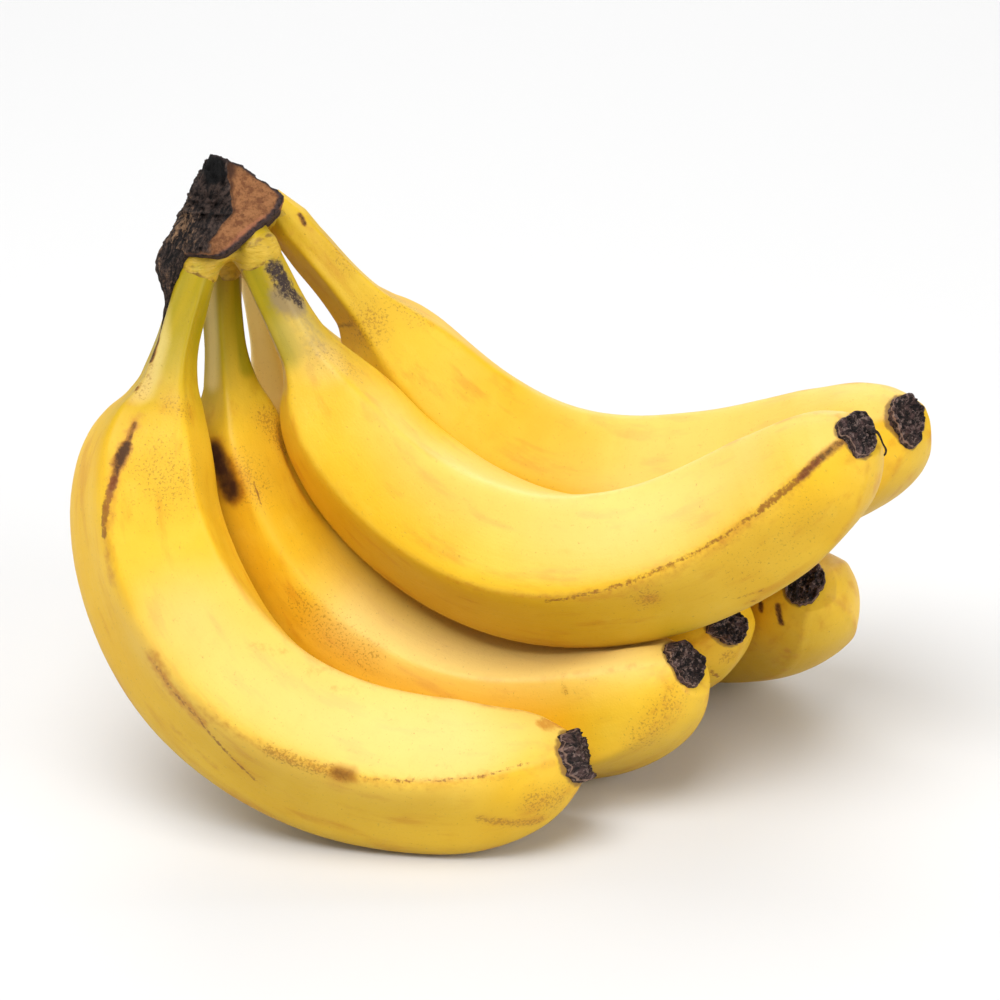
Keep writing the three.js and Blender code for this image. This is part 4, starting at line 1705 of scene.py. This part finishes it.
LOWER_SECOND_MARKS = (
    # Painted light on the top face, lightening it where the finger above shades it.
    Mark(Kind.PALE_AND_HIGHLIGHT, ((0.5, 236), (0.7, 216), (0.92, 197)), 18, 0.5, 1.0),
    Mark(Kind.BRUISE, ((0.215, 288), (0.235, 280), (0.262, 276)), 6.5, 1.0, 0.85),
    Mark(Kind.SPECKLE, ((0.24, 262), (0.262, 255)), 10, 0.9, 0.9),
    Mark(Kind.CREASE, ((0.003, 262), (0.004, 234), (0.002, 210)), 1.6, 1.0, 0.8),
    Mark(Kind.SCRATCH, ((0.258, 254), (0.29, 254)), 0.9, 0.9),
    Mark(Kind.SPECKLE, ((0.19, 212), (0.225, 204)), 7, 1.1, 0.7),
    Mark(Kind.SPECKLE, ((0.424, 261), (0.47, 259), (0.54, 254)), 9, 0.7, 0.9),
    Mark(Kind.SPECKLE, ((0.852, 238),), 2, 1.2),
    Mark(Kind.TAN, ((0.985, 268), (0.978, 284), (0.945, 295)), 4, 0.45, 1.0),
    Mark(Kind.SPECKLE, ((0.98, 282), (0.93, 296)), 8, 0.8, 0.8),
    Mark(Kind.PALE_AND_HIGHLIGHT, ((0.0, 306), (0.133, 310)), 4.5, 0.55, 0.7),
    Mark(Kind.GREEN, ((0.01, 212), (0.073, 206), (0.12, 210)), 6, 1.0, 0.8),
)
LOWER_BACK_MARKS = (
    Mark(Kind.SCAR, ((0.983, 231), (0.978, 242), (0.973, 252)), 1.7, 0.95, 0.8),
    Mark(Kind.SCAR, ((0.963, 216), (0.958, 223)), 1.8, 0.9, 0.8),
    Mark(Kind.TAN, ((0.93, 234), (0.9, 246)), 5, 0.5, 0.9),
    Mark(Kind.TAN, ((0.9, 279), (0.94, 277)), 4, 0.5, 0.9),
)
LOWER_THIRD_MARKS = (
    Mark(Kind.PALE_AND_HIGHLIGHT, ((0.0, 291), (0.08, 284), (0.15, 262)), 9, 0.7, 0.8),
    Mark(Kind.SCRATCH, ((0.962, 306), (0.957, 322)), 1.2, 0.9),
    Mark(Kind.SPECKLE, ((0.985, 312),), 4, 0.9),
)

FINGERS = (
    Finger(
        FingerShape("finger_upper_front", base=(-60.6, 3.4, 128.5), heading=-31.8, dip=64.1,
                    roll=23.2, length=197.1, girth=18.2,
                    bend=(14, 59, 122, 180, 156, 113, 58), lean=(-6.5, 22.5), ridge=22,
                    wind=-62, root=7, neck=0.96, green=0.6),
        BlossomShape(outline=((25, 4.3), (62, 5.5), (108, 6.8), (161, 4.7), (226, 5.9),
                              (262, 5.4), (317, 6.5), (340, 5.7)),
                     towards=254, shift=0.8, seed=1),
        UPPER_FRONT_MARKS, seed=1),
    Finger(
        FingerShape("finger_lower_front", base=(-73.5, 0.4, 123.3), heading=-126.5,
                    dip=57.5, roll=124.4, length=194, girth=18.8,
                    bend=(2, 66, 163, 167, 145, 140, 75), lean=(1.6, 10.6), ridge=30,
                    wind=-52, root=7, neck=0.8, green=0.9),
        BlossomShape(outline=((0, 6.4), (90, 7.2), (180, 6), (225, 7.8), (265, 9.2),
                              (305, 8)),
                     height=2.6, stain=1.8, ragged=0.8, seed=2),
        LOWER_FRONT_MARKS, seed=2),
    Finger(
        FingerShape("finger_upper_back", base=(-52.7, 16.2, 129.2), heading=9.3, dip=53.6,
                    roll=-38, length=195.2, girth=18.5,
                    bend=(-1, -8, 109, 166, 154, 123, 38), lean=(-15.3, 0.8), ridge=33,
                    wind=-30, root=8, neck=0.95, green=0.3),
        BlossomShape(outline=((14, 5), (45, 5.4), (90, 6), (135, 6.3), (169, 5.6),
                              (227, 5.7), (260, 5.3), (319, 7), (344, 5.2)),
                     towards=229, shift=1.8, seed=3),
        UPPER_BACK_MARKS, seed=3),
    Finger(
        FingerShape("finger_lower_second", base=(-68.6, 10.3, 118.9), heading=-92.2,
                    dip=77.9, roll=86.6, length=193.1, girth=18.4,
                    bend=(20, 66, 118, 157, 165, 173, 129), lean=(2.7, 27.2), ridge=61,
                    wind=-58, root=8, neck=0.82, green=0.9),
        BlossomShape(outline=((12, 5.6), (89, 5.5), (121, 7), (148, 6.4), (211, 5.5),
                              (258, 5.3), (291, 6.6), (343, 6)),
                     towards=174, shift=2.3, ragged=0.75, seed=4),
        LOWER_SECOND_MARKS, seed=4),
    Finger(
        FingerShape("finger_lower_back", base=(-61.5, 32.9, 109.6), heading=41.7, dip=57.3,
                    roll=-73.6, length=220.7, girth=17.9,
                    bend=(53, 48, 98, 165, 214, 258, 157), lean=(0, 15.2), ridge=45,
                    wind=-50, root=6, neck=0.85, green=0.3, soft=0.6),
        BlossomShape(outline=((0, 5), (90, 5.4), (180, 5.2), (283, 6.1), (351, 4.6)),
                     towards=171, shift=2.0, seed=5),
        LOWER_BACK_MARKS, seed=5),
    Finger(
        FingerShape("finger_lower_third", base=(-60.9, 23.1, 113.4), heading=46.9, dip=81.9,
                    roll=-61.1, length=199.6, girth=17.9,
                    bend=(0, -4, 202, 217, 137, 94, 93), lean=(2.8, 26), ridge=20, wind=-50,
                    root=8, neck=0.85, green=0.1, soft=0.3),
        BlossomShape(outline=((30, 4.3), (120, 4.1), (216, 6.1), (280, 4.4)), towards=279,
                     shift=2.5, seed=6),
        LOWER_THIRD_MARKS, seed=6),
)


# ------------------------------------------------------------------ table, light, camera

@dataclass(frozen=True)
class SoftBox:
    """A square soft light: its place and side in metres, and its power in watts."""

    name: str
    spot: tuple[float, float, float]
    side: float
    watts: float


@dataclass(frozen=True)
class Studio:
    """Pale table, soft light from above, behind and both sides, and the camera."""

    target: tuple[float, float, float] = (-2.1, 9.9, 58.9)  # mm
    elevation: float = 24.0  # degrees that the camera looks down
    distance: float = 1000.0  # mm from the target to the camera
    lens: float = 145.8  # mm
    sensor: float = 36.0  # mm
    table_side: float = 8.0  # m
    table_grey: float = 0.74
    sky: float = 0.26
    boxes: tuple[SoftBox, ...] = (
        SoftBox("main", (-0.3, -0.5, 1.35), 1.1, 19.5),
        SoftBox("back", (0.1, 1.3, 1.0), 1.6, 14.5),
        SoftBox("left", (-1.6, -0.2, 0.7), 0.9, 4.0),
        SoftBox("right", (1.35, -0.8, 0.6), 1.1, 14.0))

    def build(self) -> None:
        """Places the table, the lights and the camera."""
        self._table()
        self._sky()
        for box in self.boxes:
            self._hang(box)
        self._camera()

    def _table(self) -> None:
        """A flat pale sheet under the fruit."""
        half = self.table_side / 2
        mesh = bpy.data.meshes.new("table")
        corners = [(-half, -half, 0), (half, -half, 0), (half, half, 0), (-half, half, 0)]
        mesh.from_pydata(corners, [], [(0, 1, 2, 3)])
        table = bpy.data.objects.new("table", mesh)
        bpy.context.scene.collection.objects.link(table)
        r = Recipe("table_pale", 0.6, 0.2)
        r.shader.inputs["Base Color"].default_value = (self.table_grey,) * 3 + (1,)
        mesh.materials.append(r.material)

    def _sky(self) -> None:
        """Even white light from all round."""
        world = bpy.data.worlds.new("studio")
        world.use_nodes = True
        background = world.node_tree.nodes["Background"]
        background.inputs["Color"].default_value = (1, 1, 1, 1)
        background.inputs["Strength"].default_value = self.sky
        bpy.context.scene.world = world

    def _hang(self, box: SoftBox) -> None:
        """Hangs a soft light and aims it at the fruit.

        Args:
            box: The light.
        """
        light = bpy.data.lights.new(box.name, "AREA")
        light.shape = "SQUARE"
        light.size = box.side
        light.energy = box.watts
        lamp = bpy.data.objects.new(box.name, light)
        lamp.location = box.spot
        aim = Vector(self.target) * MM - Vector(box.spot)
        lamp.rotation_euler = aim.to_track_quat("-Z", "Y").to_euler()
        bpy.context.scene.collection.objects.link(lamp)

    def _camera(self) -> None:
        """Looks level along +Y, tipped down by the elevation."""
        lens = bpy.data.cameras.new("camera")
        lens.lens = self.lens
        lens.sensor_width = self.sensor
        camera = bpy.data.objects.new("camera", lens)
        tip = np.radians(self.elevation)
        look = np.array([0, np.cos(tip), -np.sin(tip)])
        camera.location = (np.array(self.target) - self.distance * look) * MM
        camera.rotation_euler = Euler((np.pi / 2 - tip, 0, 0))
        bpy.context.scene.collection.objects.link(camera)
        bpy.context.scene.camera = camera
        bpy.context.scene.view_settings.view_transform = "Standard"


def main() -> None:
    """Builds the studio, the fingers and the crown over the frame."""
    logging.basicConfig(level=logging.INFO, format="%(message)s")
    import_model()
    Studio().build()
    peel = PeelFinish().material()
    dried = BlossomFinish().material()
    for i, finger in enumerate(FINGERS):
        finger.build(FINGERS[:i], peel, dried)
    Crown().build(FINGERS)


if __name__ == "__main__":
    main()
